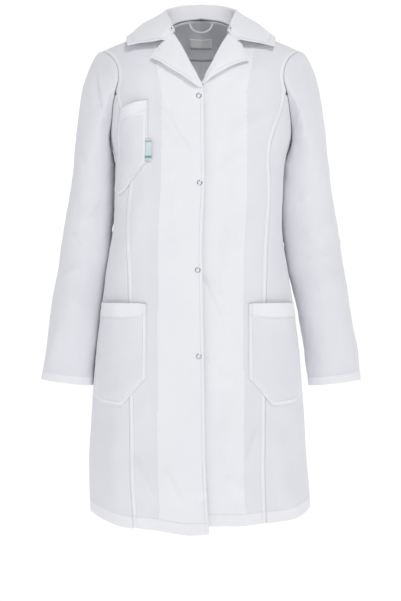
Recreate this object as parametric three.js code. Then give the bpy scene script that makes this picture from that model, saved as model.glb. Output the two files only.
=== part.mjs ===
// Laboratory coat, women's fit, closed front. Millimetres, +Z up, front towards -Y.
// Side -1 is the wearer's right (-X), side +1 the wearer's left (+X).
import * as THREE from 'three';
import { mergeVertices } from 'three/addons/utils/BufferGeometryUtils.js';

// ---- driving dimensions -------------------------------------------------------------
const CLOTH = 1.2; // body cloth
const FACING = 1.0; // facing cloth
const GAP = 0.35; // half of the space left at a seam
const HINGE_X = 88; // line about which a front turns open
const FLAP_TOP = 805; // top of the turning part of the fronts
const CROWN = 8; // how far the front curves back between its middle and the hinge line
const ROUND = 0.9; // exponent of the rounded sides
const ARMPIT_Z = 735;
const ARCH_Z = 805; // where the body starts to lean back to the shoulder
const ARCH_POWER = 2.2;
const SHOULDER_Y = 5;
const NECK_X = 75;
const NECK_Z = 950;
const SHOULDER_X = 193;
const SHOULDER_SLOPE = 0.36;
const UNDERLAP = 6.2; // how far the left front lies behind the right one
const UNDERLAP_EDGE = -15; // x of the left front's edge
const SNAP_Z = [796, 636, 477, 321];
const SNAP_X = [-4, -2, 0.5, 2.5];
const SNAP_RADIUS = 5.3;
const ELBOW_Z = 545;
const ELBOW_REACH = 62; // the soft part reaches this far above and below the elbow
const HEAD_Z = 690; // bottom of the sleeve head
const SLEEVE_SIDES = 20;
const CUFF_Z = 265;
const LOOP_IN = 7.95; // the hanger loop hangs this far inside the back's outer face
const CHEST_POCKET_IN = 9; // the pockets' inner edges lie this far beyond the hinge line
const HIP_POCKET_IN = 5;
const CHEST_POCKET_OUT = 1.1; // how far the chest pocket stands off the front
const TAG_OUT = CHEST_POCKET_OUT + CLOTH + 0.7;
const PLY_GAP = 0.35; // between a front and the facing behind it
const HEM_SIDE = 28; // the hem is this much higher at the sides
const HEM_LEFT = 12; // the left front's corner hangs this much shorter

// ---- small helpers ------------------------------------------------------------------
const lerp = (a, b, t) => a + (b - a) * t;
const clamp = (t) => Math.min(1, Math.max(0, t));
const smooth = (t) => clamp(t) ** 2 * (3 - 2 * clamp(t));

// smooth curve through [position, value] pairs
function through(pairs) {
  const n = pairs.length;
  const slope = pairs.map((p, i) => {
    const a = pairs[Math.max(0, i - 1)];
    const b = pairs[Math.min(n - 1, i + 1)];
    return (b[1] - a[1]) / (b[0] - a[0]);
  });
  return (t) => {
    if (t <= pairs[0][0]) return pairs[0][1];
    if (t >= pairs[n - 1][0]) return pairs[n - 1][1];
    let i = 0;
    while (t > pairs[i + 1][0]) i += 1;
    const h = pairs[i + 1][0] - pairs[i][0];
    const q = (t - pairs[i][0]) / h;
    const [a, b] = [pairs[i][1], pairs[i + 1][1]];
    const [m, k] = [slope[i] * h, slope[i + 1] * h];
    return a + q * (m + q * (3 * (b - a) - 2 * m - k + q * (2 * (a - b) + m + k)));
  };
}

// straight runs between [position, value, value ...] rows
function along(rows) {
  return (t) => {
    let i = 0;
    while (i < rows.length - 2 && t > rows[i + 1][0]) i += 1;
    const q = clamp((t - rows[i][0]) / (rows[i + 1][0] - rows[i][0]));
    return rows[i].slice(1).map((a, j) => lerp(a, rows[i + 1][j + 1], q));
  };
}

// ---- the shape of the body ----------------------------------------------------------
const halfWidth = through([
  [0, 210], [150, 206], [265, 200], [335, 194], [403, 186], [472, 175], [555, 157],
  [628, 154], [690, 161], [735, 173.5], [790, 176], [835, 178], [870, 186], [907, 202],
]);
const frontDepth = (z) => lerp(150, 118, clamp(z / 812));
const backDepth = through([[0, 130], [150, 130], [400, 122], [560, 98], [640, 95], [800, 105]]);
const crest = (x) => NECK_Z + SHOULDER_SLOPE * (NECK_X - x)
  + (x < NECK_X ? 25 * (1 - (x / NECK_X) ** 2) : 0);
const lean = (x, z) => (z <= ARCH_Z ? 1
  : Math.sqrt(Math.max(0, 1 - ((z - ARCH_Z) / (crest(x) - ARCH_Z)) ** ARCH_POWER)));

// s runs 0 front middle, 1 hinge line, 2 side seam, 3 back middle
function skin(side, s, z) {
  const a = halfWidth(z);
  const t = ((s % 1 || (s > 0 ? 1 : 0)) * Math.PI) / 2;
  const [sin, cos] = [Math.sin(t), Math.max(0, Math.cos(t))];
  let x = s * HINGE_X;
  let y = -frontDepth(z) + CROWN * s * s;
  if (s > 1 && s <= 2) {
    x = HINGE_X + (a - HINGE_X) * sin ** ROUND;
    y = -(frontDepth(z) - CROWN) * cos ** ROUND;
  } else if (s > 2) {
    x = a * cos ** ROUND;
    y = backDepth(z) * sin ** ROUND;
  }
  const f = lean(Math.abs(x), z);
  return [side * x, SHOULDER_Y * (1 - f) + y * f, z];
}
function frontS(x, z) {
  if (x <= HINGE_X) return x / HINGE_X;
  const w = clamp((x - HINGE_X) / (halfWidth(z) - HINGE_X));
  return 1 + (Math.asin(w ** (1 / ROUND)) * 2) / Math.PI;
}
const backS = (x, z) => 2 + (Math.acos(clamp(x / halfWidth(z)) ** (1 / ROUND)) * 2) / Math.PI;

// the left front dips behind the right one near the middle
const dip = (x, z) => UNDERLAP * (1 - smooth((x - 38) / 46)) * (1 - smooth((z - 812) / 50));
function front(side, x, z) {
  const p = skin(side, x / HINGE_X, z);
  if (x > HINGE_X) return skin(side, frontS(x, z), z);
  if (side > 0) p[1] += dip(x, z);
  return p;
}

// ---- seam lines, x outward against height -------------------------------------------
const princess = through([
  [0, 121], [235, 124], [417, 126], [600, 126], [680, 125.5], [710, 128], [734, 135],
  [756, 143.5], [776, 151], [800, 157.5], [812, 159.5],
]);
const backPrincess = through([[0, 112], [400, 105], [600, 88], [735, 100], [850, 115], [930, 122]]);
const armholeFront = through([
  [735, 173.5], [760, 171], [790, 167], [816, 160.5], [835, 155], [862, 158], [885, 171],
  [907.5, SHOULDER_X],
]);
const armholeBack = through([
  [735, 173.5], [760, 170], [790, 165], [816, 162], [850, 163], [880, 172], [907.5, SHOULDER_X],
]);
const NECK_EDGE = [
  [826, 4], [840, 11], [856, 20], [876, 29.6], [893, 38], [911, 48], [918, 52], [932, 62],
  [944, 70], [950, NECK_X],
];
const openEdge = {
  [-1]: through([[805, -4.5], [815, -2], ...NECK_EDGE]),
  1: through([[805, -14], [815, -8], ...NECK_EDGE]),
};
const frontEdge = through([[0, 16], [230, 13], [477, 9], [636, 6.5], [805, 4.5]]);
const neckBack = (x) => lerp(982, NECK_Z, (x / NECK_X) ** 2);
const hem = (side, s) => (s <= 2
  ? lerp(side > 0 ? HEM_LEFT : 0, HEM_SIDE, Math.abs(s / 2) ** 1.5)
  : lerp(HEM_SIDE, 12, s - 2));
const outerS = (z, edge, toS) => (z <= ARMPIT_Z ? 2 : toS(edge(z), z));

// ---- turning surfaces into closed cloth ---------------------------------------------
function closed(geometry) {
  geometry.deleteAttribute('normal');
  geometry.deleteAttribute('uv');
  const body = mergeVertices(geometry, 1e-4);
  const { array } = body.index;
  const p = body.attributes.position;
  let volume = 0;
  const [a, b, c] = [0, 1, 2].map(() => new THREE.Vector3());
  for (let i = 0; i < array.length; i += 3) {
    a.fromBufferAttribute(p, array[i]);
    b.fromBufferAttribute(p, array[i + 1]);
    c.fromBufferAttribute(p, array[i + 2]);
    volume += a.dot(b.cross(c));
  }
  if (volume < 0) {
    for (let i = 0; i < array.length; i += 3) [array[i], array[i + 1]] = [array[i + 1], array[i]];
  }
  body.computeVertexNormals();
  return body;
}

// unit normal of surface(u, v), turned to the side that `away` points to
function normalAt(surface, u, v, away) {
  const h = 0.004;
  const at = (i, j) => new THREE.Vector3(...surface(i, j));
  const du = at(Math.min(1, u + h), v).sub(at(Math.max(0, u - h), v));
  const dv = at(u, Math.min(1, v + h)).sub(at(u, Math.max(0, v - h)));
  const n = du.cross(dv).normalize();
  return away && n.dot(away(at(u, v))) < 0 ? n.negate() : n;
}
const fromAxis = (p) => new THREE.Vector3(p.x, p.y * 1.6, 60);

// a cloth shell over surface(u, v), between two distances from it, counted outward
function shell(surface, nu, nv, low, high, away = fromAxis) {
  const geometry = new THREE.BoxGeometry(1, 1, 1, nu, nv, 1);
  const p = geometry.attributes.position;
  // both faces are cut along the same diagonals, so that neighbouring layers stay parallel
  const index = geometry.index.array;
  const side = (i) => Math.abs(p.getZ(index[i]) + 0.5) < 1e-6;
  for (let i = 0; i < index.length; i += 6) {
    if ([0, 1, 2, 3, 4, 5].every((j) => side(i + j))) {
      const [a, b, d, , c] = index.slice(i, i + 6);
      index.set([a, b, c, a, c, d], i);
    }
  }
  for (let i = 0; i < p.count; i += 1) {
    const [u, v] = [p.getX(i) + 0.5, p.getY(i) + 0.5];
    const n = normalAt(surface, u, v, away);
    const q = new THREE.Vector3(...surface(u, v)).addScaledVector(n, p.getZ(i) > 0 ? high : low);
    p.setXYZ(i, q.x, q.y, q.z);
  }
  return closed(geometry);
}

// a cloth tube over ring(k, w): k once round, w along it
function tube(ring, around, rows, low, high) {
  const profile = [];
  for (let j = 0; j <= rows; j += 1) profile.push(new THREE.Vector2(2, j / rows));
  for (let j = rows; j >= 0; j -= 1) profile.push(new THREE.Vector2(1, j / rows));
  profile.push(new THREE.Vector2(2, 0));
  const geometry = new THREE.LatheGeometry(profile, around);
  const p = geometry.attributes.position;
  const at = (k, w) => new THREE.Vector3(...ring((k + 1) % 1, clamp(w)));
  for (let i = 0; i < p.count; i += 1) {
    const turn = Math.atan2(p.getX(i), p.getZ(i)) / (2 * Math.PI);
    const k = Math.round(((turn + 1) % 1) * around) / around;
    const w = p.getY(i);
    const q = at(k, w);
    const n = at(k + 0.01, w).sub(at(k - 0.01, w)).cross(at(k, w + 0.01).sub(at(k, w - 0.01)));
    n.normalize();
    const middle = at(k + 0.5, w).add(q).multiplyScalar(0.5);
    if (n.dot(q.clone().sub(middle)) < 0) n.negate();
    const outer = Math.hypot(p.getX(i), p.getZ(i)) > 1.5;
    q.addScaledVector(n, outer ? high : low);
    p.setXYZ(i, q.x, q.y, q.z);
  }
  return closed(geometry);
}

// ---- materials and the list of pieces -----------------------------------------------
const look = (color, roughness, metalness = 0) =>
  new THREE.MeshStandardMaterial({ color, roughness, metalness });
const cloth = look(0xf2f4f8, 0.9);
const innerCloth = look(0xe9ecf2, 0.9);
const steel = look(0xc8cbd0, 0.25, 1);
const labelCloth = look(0xf7f7f5, 0.8);
const tagCloth = look(0x7fb6b3, 0.8);

const group = new THREE.Group();
group.name = 'lab_coat';
function add(name, geometry, material) {
  const mesh = new THREE.Mesh(geometry, material);
  mesh.name = name;
  group.add(mesh);
}
const sideName = { [-1]: 'right', 1: 'left' };

// height on the way up a panel: even to the lean, then by the angle of the lean
function climb(v, share, low, x, end) {
  if (v <= share) return lerp(low, ARCH_Z, v / share);
  const angle = end * ((v - share) / (1 - share));
  return ARCH_Z + (crest(x) - ARCH_Z) * Math.sin(angle) ** (2 / ARCH_POWER);
}
const SEAM_END = Math.PI / 2 - 0.012;
const BACK_ROWS = 18;
const FRONT_ROWS = 18;
const TAPER_TOP = 800; // the side front runs out here, between princess seam and armhole
// where a column of the back stops: at the neckline, or at the shoulder seam beyond it
function neckEnd(x) {
  const at = Math.min(x, NECK_X);
  const rise = (neckBack(at) - ARCH_Z) / (crest(at) - ARCH_Z);
  return Math.min(SEAM_END, Math.asin(clamp(rise) ** (ARCH_POWER / 2)));
}

// ---- body panels --------------------------------------------------------------------
for (const side of [-1, 1]) {
  const name = sideName[side];

  // between the princess seam and the side seam, running out at the armhole
  add(`${name}_side_front`, shell((u, v) => {
    const s0 = frontS(princess(0), 0);
    const z = lerp(hem(side, lerp(s0, 2, u)), TAPER_TOP, v);
    const inner = frontS(princess(z) + GAP, z);
    const outer = z <= ARMPIT_Z ? 2 - 0.0012 : frontS(armholeFront(z), z);
    return skin(side, lerp(inner, outer, u), z);
  }, 5, FRONT_ROWS, -CLOTH, 0), cloth);

  // the still strip between the hinge line and the princess seam
  add(`${name}_front_panel`, shell((u, v) => {
    const s0 = frontS(princess(0), 0);
    const low = hem(side, lerp(1, s0, u));
    const w = (v * (FRONT_ROWS + 1)) / FRONT_ROWS;
    const z = w <= 1 ? lerp(low, TAPER_TOP, w) : lerp(TAPER_TOP, FLAP_TOP, (w - 1) * FRONT_ROWS);
    return front(side, lerp(HINGE_X + GAP, princess(z) - GAP, u), z);
  }, 3, FRONT_ROWS + 1, -CLOTH, 0), cloth);

  // from the top of the turning flap to the shoulder seam
  add(`${name}_front_chest`, shell((u, v) => {
    let z = 930;
    for (let i = 0; i < 12; i += 1) z = crest(lerp(openEdge[side](z), armholeFront(z), u));
    const tall = z - ARCH_Z;
    const start = Math.asin(((FLAP_TOP + 2 * GAP - ARCH_Z) / tall) ** (ARCH_POWER / 2));
    z = ARCH_Z + tall * Math.sin(lerp(start, SEAM_END, v)) ** (2 / ARCH_POWER);
    return front(side, lerp(openEdge[side](z), armholeFront(z), u), z);
  }, 7, 9, -CLOTH, 0), cloth);

  // the turning flap and the facing behind it
  const edge = (z) => (side < 0 ? -frontEdge(z) : UNDERLAP_EDGE);
  const flap = (wide) => (u, v) => {
    const z = lerp(hem(side, lerp(0, 1, u)) , FLAP_TOP, v);
    return front(side, lerp(edge(z), wide, u), z);
  };
  add(`${name}_front_flap`, shell(flap(HINGE_X - GAP), side < 0 ? 4 : 7, 12, -CLOTH, 0), cloth);
  const facingWidth = side < 0 ? 76 : 84;
  add(`${name}_facing`, shell((u, v) => {
    const p = flap(facingWidth)(u, lerp(0.002, 0.998, v));
    return p;
  }, side < 0 ? 3 : 7, 8, -CLOTH - PLY_GAP - FACING, -CLOTH - PLY_GAP), innerCloth);

  // back: side panel and middle panel
  add(`${name}_side_back`, shell((u, v) => {
    const x = lerp(SHOULDER_X, 122, u);
    const z = climb(v, 0.6, hem(side, lerp(2, 2.6, u)), x, SEAM_END);
    const outer = z <= ARMPIT_Z ? 2 + 0.0012 : backS(armholeBack(z), z);
    return skin(side, lerp(outer, backS(backPrincess(z) + GAP, z), u), z);
  }, 5, BACK_ROWS, -CLOTH, 0), cloth);
  add(`${name}_back`, shell((u, v) => {
    const x = lerp(122, 0, u);
    const z = climb(v, 0.6, hem(side, lerp(2.6, 3, u)), x, neckEnd(x));
    return skin(side, backS(lerp(backPrincess(z) - GAP, GAP, u), z), z);
  }, 5, BACK_ROWS, -CLOTH, 0), cloth);

  // ---- lapel: folded out along the edge of the neck opening
  const outline = side < 0
    ? along([[0, 1, 809.5], [0.12, 20, 822], [0.28, 38, 835], [0.44, 57, 846], [0.6, 75, 859],
      [0.75, 92.5, 867], [1, 67, 899]])
    : along([[0, 4.5, 818.5], [0.15, 20, 832], [0.32, 35, 841], [0.48, 53, 850], [0.62, 71, 857],
      [0.75, 89, 862], [1, 71, 896]]);
  add(`${name}_lapel`, shell((u, v) => {
    const z0 = lerp(side < 0 ? 812 : 821, 917, v);
    const [x1, z1] = outline(v);
    const x = lerp(openEdge[side](z0) + 0.2, x1, u);
    const z = lerp(z0, z1, u);
    const p = front(side, x, z);
    const n = normalAt((i, j) => front(side, x + 4 * i, z + 4 * j), 0, 0, fromAxis);
    const lift = 1.3 + 3.2 * Math.sin((Math.PI / 2) * u);
    return [p[0] + n.x * lift, p[1] + n.y * lift, p[2] + n.z * lift];
  }, 6, 12, -0.75, 0.75), cloth);

  // ---- sleeve
  const middle = through([[265, 258], [335, 249.5], [403, 243], [472, 234.5], [555, 225],
    [628, 214.5], [690, 208]]);
  const wide = through([[265, 50.5], [335, 49], [403, 47], [472, 44.5], [555, 42.5],
    [628, 40.5], [690, 39.5]]);
  const deep = through([[265, 38], [335, 43], [403, 47], [472, 51], [555, 54], [628, 58],
    [690, 62]]);
  const forward = through([[265, -16], [403, -8], [555, 4], [690, 4]]);
  const limb = (k, z) => {
    const a = 2 * Math.PI * k;
    const x = middle(z) - wide(z) * Math.cos(a);
    return [side * x, forward(z) - deep(z) * Math.sin(a), z + 0.12 * (x - middle(z))];
  };
  const hole = (k) => {
    const q = k < 0.5 ? 2 * k : 2 - 2 * k;
    const z = lerp(ARMPIT_Z, 907, (1 - Math.cos(Math.PI * q)) / 2);
    const p = k < 0.5 ? skin(side, outerS(z, armholeFront, frontS), z)
      : skin(side, outerS(z, armholeBack, backS), z);
    const low = 1 - smooth(q / 0.4);
    return [p[0] + side * (1.1 + 1.2 * low), p[1], p[2] + 0.2 - 0.5 * low];
  };
  add(`${name}_sleeve_head`, tube((k, w) => {
    const [a, b] = [hole(k), limb(k, HEAD_Z + 0.6)];
    const top = (1 - Math.cos(2 * Math.PI * k)) / 2;
    const c = [a[0] + side * lerp(1, 40, top), lerp(a[1], b[1], 0.3), a[2] - lerp(22, 16, top)];
    return a.map((p, i) => p * (1 - w) ** 2 + 2 * c[i] * w * (1 - w) + b[i] * w * w);
  }, SLEEVE_SIDES, 5, 0.2, 0.2 + CLOTH), cloth);
  const lengths = [
    ['sleeve_upper', HEAD_Z, ELBOW_Z + ELBOW_REACH, 2],
    ['sleeve_elbow', ELBOW_Z + ELBOW_REACH - 0.6, ELBOW_Z - ELBOW_REACH + 0.6, 2],
    ['sleeve_lower', ELBOW_Z - ELBOW_REACH, CUFF_Z, 4],
  ];
  for (const [part, high, low, rows] of lengths) {
    add(`${name}_${part}`, tube((k, w) => limb(k, lerp(high, low, w)), SLEEVE_SIDES, rows, 0.2,
      0.2 + CLOTH), cloth);
  }
}

// the cloth lapped behind the vent in the middle of the back
add('vent_underlay', shell((u, v) => {
  const z = lerp(16, 330, v);
  const x = lerp(-6, 34, u);
  return skin(Math.sign(x) || 1, backS(Math.abs(x), z), z);
}, 4, 6, -CLOTH - 0.6 - CLOTH, -CLOTH - 0.6), cloth);

// ---- pockets: sewn flat at the sides, standing off at the mouth ------------------------
function pocket(side, inner, outerAt, top, bottom, gape) {
  return (u, v) => {
    const z = lerp(bottom(u), top(u), v);
    const s0 = frontS(inner, z);
    const p = skin(side, lerp(s0, outerAt(z), u), z);
    const n = normalAt((i, j) => skin(side, lerp(s0, outerAt(z), u) + 0.01 * i, z + 3 * j), 0, 0,
      fromAxis);
    const stand = gape * Math.sin(Math.PI * u) ** 0.7 * Math.exp(-(top(u) - z) / 42);
    return [p[0] + n.x * stand, p[1] + n.y * stand, p[2] + n.z * stand];
  };
}
const chestPocket = pocket(-1, HINGE_X + CHEST_POCKET_IN, (z) => lerp(1.7, 1.46, clamp((z - 630) / 146)),
  (u) => lerp(790, 777, u),
  (u) => along([[0, 676], [0.5, 625], [0.74, 618], [1, 632]])(u)[0], 11);
add('chest_pocket', shell(chestPocket, 9, 7, CHEST_POCKET_OUT, CHEST_POCKET_OUT + CLOTH), cloth);
for (const side of [-1, 1]) {
  const bag = pocket(side, HINGE_X + HIP_POCKET_IN, () => 1.8, () => 417,
    (u) => along([[0, 281], [0.3, 229], [0.7, 232], [1, 244]])(u)[0], 12);
  add(`${sideName[side]}_hip_pocket`, shell(bag, 8, 7, 0.7, 0.7 + CLOTH), cloth);
}
add('pocket_tag', shell((u, v) => {
  const z = lerp(677, 717, v);
  return skin(-1, frontS(HINGE_X + lerp(1.5, 12, u), z), z);
}, 1, 3, TAG_OUT, TAG_OUT + 0.8), tagCloth);

// ---- collar: a stand round the neck and a leaf folded down over it ---------------------
// rows run from the front end (0) to the middle of the back (1), for the wearer's left
const rail = (points) => {
  const curve = new THREE.CatmullRomCurve3(points.map((p) => new THREE.Vector3(...p)), false,
    'centripetal');
  return (h) => curve.getPoint(h);
};
const foot = rail([[48, -84, 921], [57, -68, 935], [66, -42, 947], [73, 3, 953], [64, 20, 960],
  [40, 36, 976], [0, 45, 984.5]]);
const fold = rail([[52, -94, 926], [57, -72, 946], [65, -40, 968], [70, 2, 988], [63, 30, 1000],
  [38, 54, 1013], [0, 63, 1018]]);
const leaf = rail([[136, -84, 894], [139, -68, 905], [140, -24, 929], [134, 20, 939],
  [104, 52, 942], [56, 68, 948], [0, 76, 952]]);
const bend = rail([[69, -103, 904], [92, -74, 928], [108, -32, 950], [108, 14, 964],
  [84, 44, 973], [48, 63, 984], [0, 72, 990]]);
function collar(inset) {
  const surface = (u, v) => {
    const h = 1 - Math.abs(2 * u - 1);
    const side = u < 0.5 ? -1 : 1;
    const [a, b, c, d] = [foot(h), fold(h), bend(h), leaf(h)];
    const out = new THREE.Vector3(b.x, b.y, 0).normalize();
    const rise = Math.min(1, h * 6 + 0.25);
    const near = b.clone().addScaledVector(out, -3 * rise).add(new THREE.Vector3(0, 0, -2));
    const far = b.clone().addScaledVector(out, 3 * rise).add(new THREE.Vector3(0, 0, -2));
    const stops = [a, near, b, far, c, d];
    const at = [0, 0.28, 0.36, 0.44, 0.68, 1];
    let i = 0;
    while (i < 4 && v > at[i + 1]) i += 1;
    const p = stops[i].clone().lerp(stops[i + 1], (v - at[i]) / (at[i + 1] - at[i]));
    return [side * p.x, p.y, p.z];
  };
  const columns = 18;
  const rows = [0, 0.14, 0.28, 0.36, 0.44, 0.56, 0.68, 0.84, 1];
  const n = rows.length - 1;
  return shell((u, v) => {
    const j = Math.min(n - 1, Math.floor(v * n));
    const p = surface(u, lerp(rows[j], rows[j + 1], v * n - j));
    return p;
  }, columns, n, inset - 0.6, inset + 0.6, null);
}
add('upper_collar', collar(1.0), cloth);
add('under_collar', collar(-0.8), innerCloth);

// ---- inside the back of the neck -------------------------------------------------------
function backInside(x0, x1, z0, topAt) {
  return (u, v) => {
    const x = lerp(x0, x1, u);
    const z = lerp(z0(x), topAt(x), v);
    return skin(Math.sign(x) || 1, backS(Math.abs(x), z), z);
  };
}
add('back_neck_facing', shell((u, v) => {
  const x = lerp(-73.2, 73.2, u);
  const v1 = lerp(1 - 3 / BACK_ROWS, 1 - 0.1 / BACK_ROWS, v);
  const z = climb(v1, 0.6, 12, Math.abs(x), neckEnd(Math.abs(x)));
  return skin(Math.sign(x) || 1, backS(Math.abs(x), z), z);
}, 6, 3, -CLOTH - 0.5 - FACING, -CLOTH - 0.5), innerCloth);
add('neck_label', shell(backInside(-22, 22, () => 934, () => 950), 2, 2, -4.7, -3.8), labelCloth);
// a narrow band hung in a loop, straight down from its two sewn ends
const loopY = skin(1, backS(22, 974), 974)[1] - LOOP_IN;
add('hanger_loop', shell((u, v) => {
  const a = Math.PI * u;
  const r = lerp(20, 24, v);
  return [r * Math.cos(a), loopY, 974 - r * 0.8 * Math.sin(a)];
}, 10, 1, -0.5, 0.5, () => new THREE.Vector3(0, 1, 0)), innerCloth);

// ---- ring snaps --------------------------------------------------------------------------
// rows are [radius, height] round a closed profile, height counted outward from the front
const SEAT = -CLOTH - PLY_GAP - FACING - 0.3; // what sits behind the right front's facing
const UNDER = 0.25 - UNDERLAP; // what sits on the left front's outer face
const BEHIND = SEAT - UNDERLAP; // what sits behind the left front's facing
const SNAP = {
  cap_ring: [[3.1, 0.25], [SNAP_RADIUS, 0.25], [SNAP_RADIUS, 0.75], [4.3, 1.45], [3.1, 0.9]],
  socket: [[2.2, SEAT - 1.65], [4.6, SEAT - 1.65], [4.9, SEAT - 0.55], [4.9, SEAT], [2.2, SEAT]],
  stud: [[0.7, UNDER], [4.7, UNDER], [4.7, UNDER + 0.6], [1.8, UNDER + 0.8], [1.8, SEAT - 0.55],
    [0.7, SEAT - 0.55]],
  back_ring: [[3.1, BEHIND - 0.85], [4.3, BEHIND - 1.35], [SNAP_RADIUS, BEHIND - 0.55],
    [SNAP_RADIUS, BEHIND], [3.1, BEHIND]],
};
SNAP_Z.forEach((z, i) => {
  const centre = new THREE.Vector3(...front(-1, -SNAP_X[i], z));
  const n = new THREE.Vector3(0, -812, 32).normalize();
  const turn = new THREE.Quaternion().setFromUnitVectors(new THREE.Vector3(0, 1, 0), n);
  for (const [part, rows] of Object.entries(SNAP)) {
    const profile = [...rows, rows[0]].map(([r, h]) => new THREE.Vector2(r, h));
    const geometry = new THREE.LatheGeometry(profile, 12);
    geometry.applyQuaternion(turn).translate(centre.x, centre.y, centre.z);
    add(`snap_${i + 1}_${part}`, closed(geometry), steel);
  }
});

// the origin is between the shoulders, level with the top of the shoulder seams
group.position.z = -NECK_Z;

export default group;
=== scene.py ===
"""Laboratory coat: cloth, stitching, snaps, light and camera. Lengths in the making are millimetres above the hem's
lowest corner; to_m() turns them into the row frame in metres. Side -1 is the wearer's right."""

import math

import bpy
import numpy as np
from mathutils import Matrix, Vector


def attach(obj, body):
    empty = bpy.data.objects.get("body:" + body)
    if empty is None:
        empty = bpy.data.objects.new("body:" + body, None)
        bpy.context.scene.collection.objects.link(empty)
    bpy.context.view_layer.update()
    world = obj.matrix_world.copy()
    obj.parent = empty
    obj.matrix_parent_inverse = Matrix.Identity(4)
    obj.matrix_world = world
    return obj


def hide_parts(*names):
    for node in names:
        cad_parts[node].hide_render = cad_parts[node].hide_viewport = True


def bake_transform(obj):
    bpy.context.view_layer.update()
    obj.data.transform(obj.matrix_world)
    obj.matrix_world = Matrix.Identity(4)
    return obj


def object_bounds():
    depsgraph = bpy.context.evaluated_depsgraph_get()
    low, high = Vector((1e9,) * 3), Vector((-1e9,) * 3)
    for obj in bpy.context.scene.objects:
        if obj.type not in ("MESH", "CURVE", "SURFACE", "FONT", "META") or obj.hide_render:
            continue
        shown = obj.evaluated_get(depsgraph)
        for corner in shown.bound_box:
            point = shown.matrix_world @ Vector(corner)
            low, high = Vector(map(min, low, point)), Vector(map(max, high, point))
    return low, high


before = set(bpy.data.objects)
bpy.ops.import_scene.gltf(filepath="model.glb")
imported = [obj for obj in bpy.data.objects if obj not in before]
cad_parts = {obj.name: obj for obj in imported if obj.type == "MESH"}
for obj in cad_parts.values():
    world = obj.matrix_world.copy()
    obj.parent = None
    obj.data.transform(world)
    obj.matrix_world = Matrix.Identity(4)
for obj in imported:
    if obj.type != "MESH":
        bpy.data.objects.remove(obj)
CAD_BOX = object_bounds()

NECK_Z = 950.0
HINGE_X = 88.0
ARCH_Z = 805.0
ARCH_POWER = 2.2
NECK_X = 75.0
SHOULDER_X = 193.0
CROWN = 8.0
ROUND = 0.9
UNDERLAP = 6.2
SIDES = {-1: "right", 1: "left"}


def to_m(p):
    p = np.asarray(p, float)
    q = p.copy()
    q[..., 2] -= NECK_Z
    return q / 1000.0


# ------------------------------------------------------------------ curves
def smooth(t):
    t = np.clip(t, 0, 1)
    return t * t * (3 - 2 * t)


def through(pairs):
    """Smooth curve through (position, value) pairs, for arrays."""
    xs = np.array([p[0] for p in pairs], float)
    ys = np.array([p[1] for p in pairs], float)
    n = len(xs)
    m = np.array([(ys[min(n - 1, i + 1)] - ys[max(0, i - 1)]) / (xs[min(n - 1, i + 1)] - xs[max(0, i - 1)])
                  for i in range(n)])

    def f(t):
        t = np.clip(np.asarray(t, float), xs[0], xs[-1])
        i = np.clip(np.searchsorted(xs, t, side="right") - 1, 0, n - 2)
        h = xs[i + 1] - xs[i]
        q = (t - xs[i]) / h
        a, b, s, k = ys[i], ys[i + 1], m[i] * h, m[i + 1] * h
        return a + q * (s + q * (3 * (b - a) - 2 * s - k + q * (2 * (a - b) + s + k)))

    return f


half_width = through([(0, 210), (150, 206), (265, 200), (335, 194), (403, 186), (472, 175), (555, 157),
                      (628, 154), (690, 161), (735, 173.5), (790, 176), (835, 178), (870, 186), (907, 202)])
back_depth = through([(0, 130), (150, 130), (400, 122), (560, 98), (640, 95), (800, 105)])
princess = through([(0, 121), (235, 124), (417, 126), (600, 126), (680, 125.5), (710, 128), (734, 135),
                    (756, 143.5), (776, 151), (800, 157.5), (812, 159.5)])
back_princess = through([(0, 112), (400, 105), (600, 88), (735, 100), (850, 115), (930, 122)])
armhole_front = through([(735, 173.5), (760, 171), (790, 167), (816, 160.5), (835, 155), (862, 158),
                         (885, 171), (907.5, SHOULDER_X)])
armhole_back = through([(735, 173.5), (760, 170), (790, 165), (816, 162), (850, 163), (880, 172),
                        (907.5, SHOULDER_X)])
NECK_EDGE = [(826, 4), (840, 11), (856, 20), (876, 29.6), (893, 38), (911, 48), (918, 52), (932, 62),
             (944, 70), (950, NECK_X)]
open_edge = {-1: through([(805, -4.5), (815, -2)] + NECK_EDGE), 1: through([(805, -14), (815, -8)] + NECK_EDGE)}
front_edge = through([(0, 16), (230, 13), (477, 9), (636, 6.5), (805, 4.5)])
# seen from the front the snaps stand in a line; x, height
SNAPS = [(-4, 796), (-2, 636), (0.5, 477), (2.5, 321)]


def front_depth(z):
    return 150 - 32 * np.clip(z / 812.0, 0, 1)


def crest(x):
    x = np.abs(x)
    return NECK_Z + 0.36 * (NECK_X - x) + np.where(x < NECK_X, 25 * (1 - (x / NECK_X) ** 2), 0)


def neck_back(x):
    return 982 + (NECK_Z - 982) * (np.abs(x) / NECK_X) ** 2


def lean(x, z):
    t = np.clip((z - ARCH_Z) / (crest(x) - ARCH_Z), 0, 1)
    return np.sqrt(np.maximum(0, 1 - t ** ARCH_POWER))


def skin(side, s, z):
    """The coat's outer surface: s is 0 at the front middle, 1 hinge line, 2 side seam, 3 back middle."""
    s, z = np.broadcast_arrays(np.asarray(s, float), np.asarray(z, float))
    a = half_width(z)
    t = np.clip(np.where(s <= 2, s - 1, s - 2), 0, 1) * math.pi / 2
    sn, cs = np.sin(t), np.maximum(0, np.cos(t))
    fd = front_depth(z)
    x = np.where(s <= 1, s * HINGE_X, np.where(s <= 2, HINGE_X + (a - HINGE_X) * sn ** ROUND, a * cs ** ROUND))
    y = np.where(s <= 1, -fd + CROWN * s * s,
                 np.where(s <= 2, -(fd - CROWN) * cs ** ROUND, back_depth(z) * sn ** ROUND))
    f = lean(np.abs(x), z)
    return np.stack([side * x, 5 * (1 - f) + y * f, z], -1)


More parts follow.
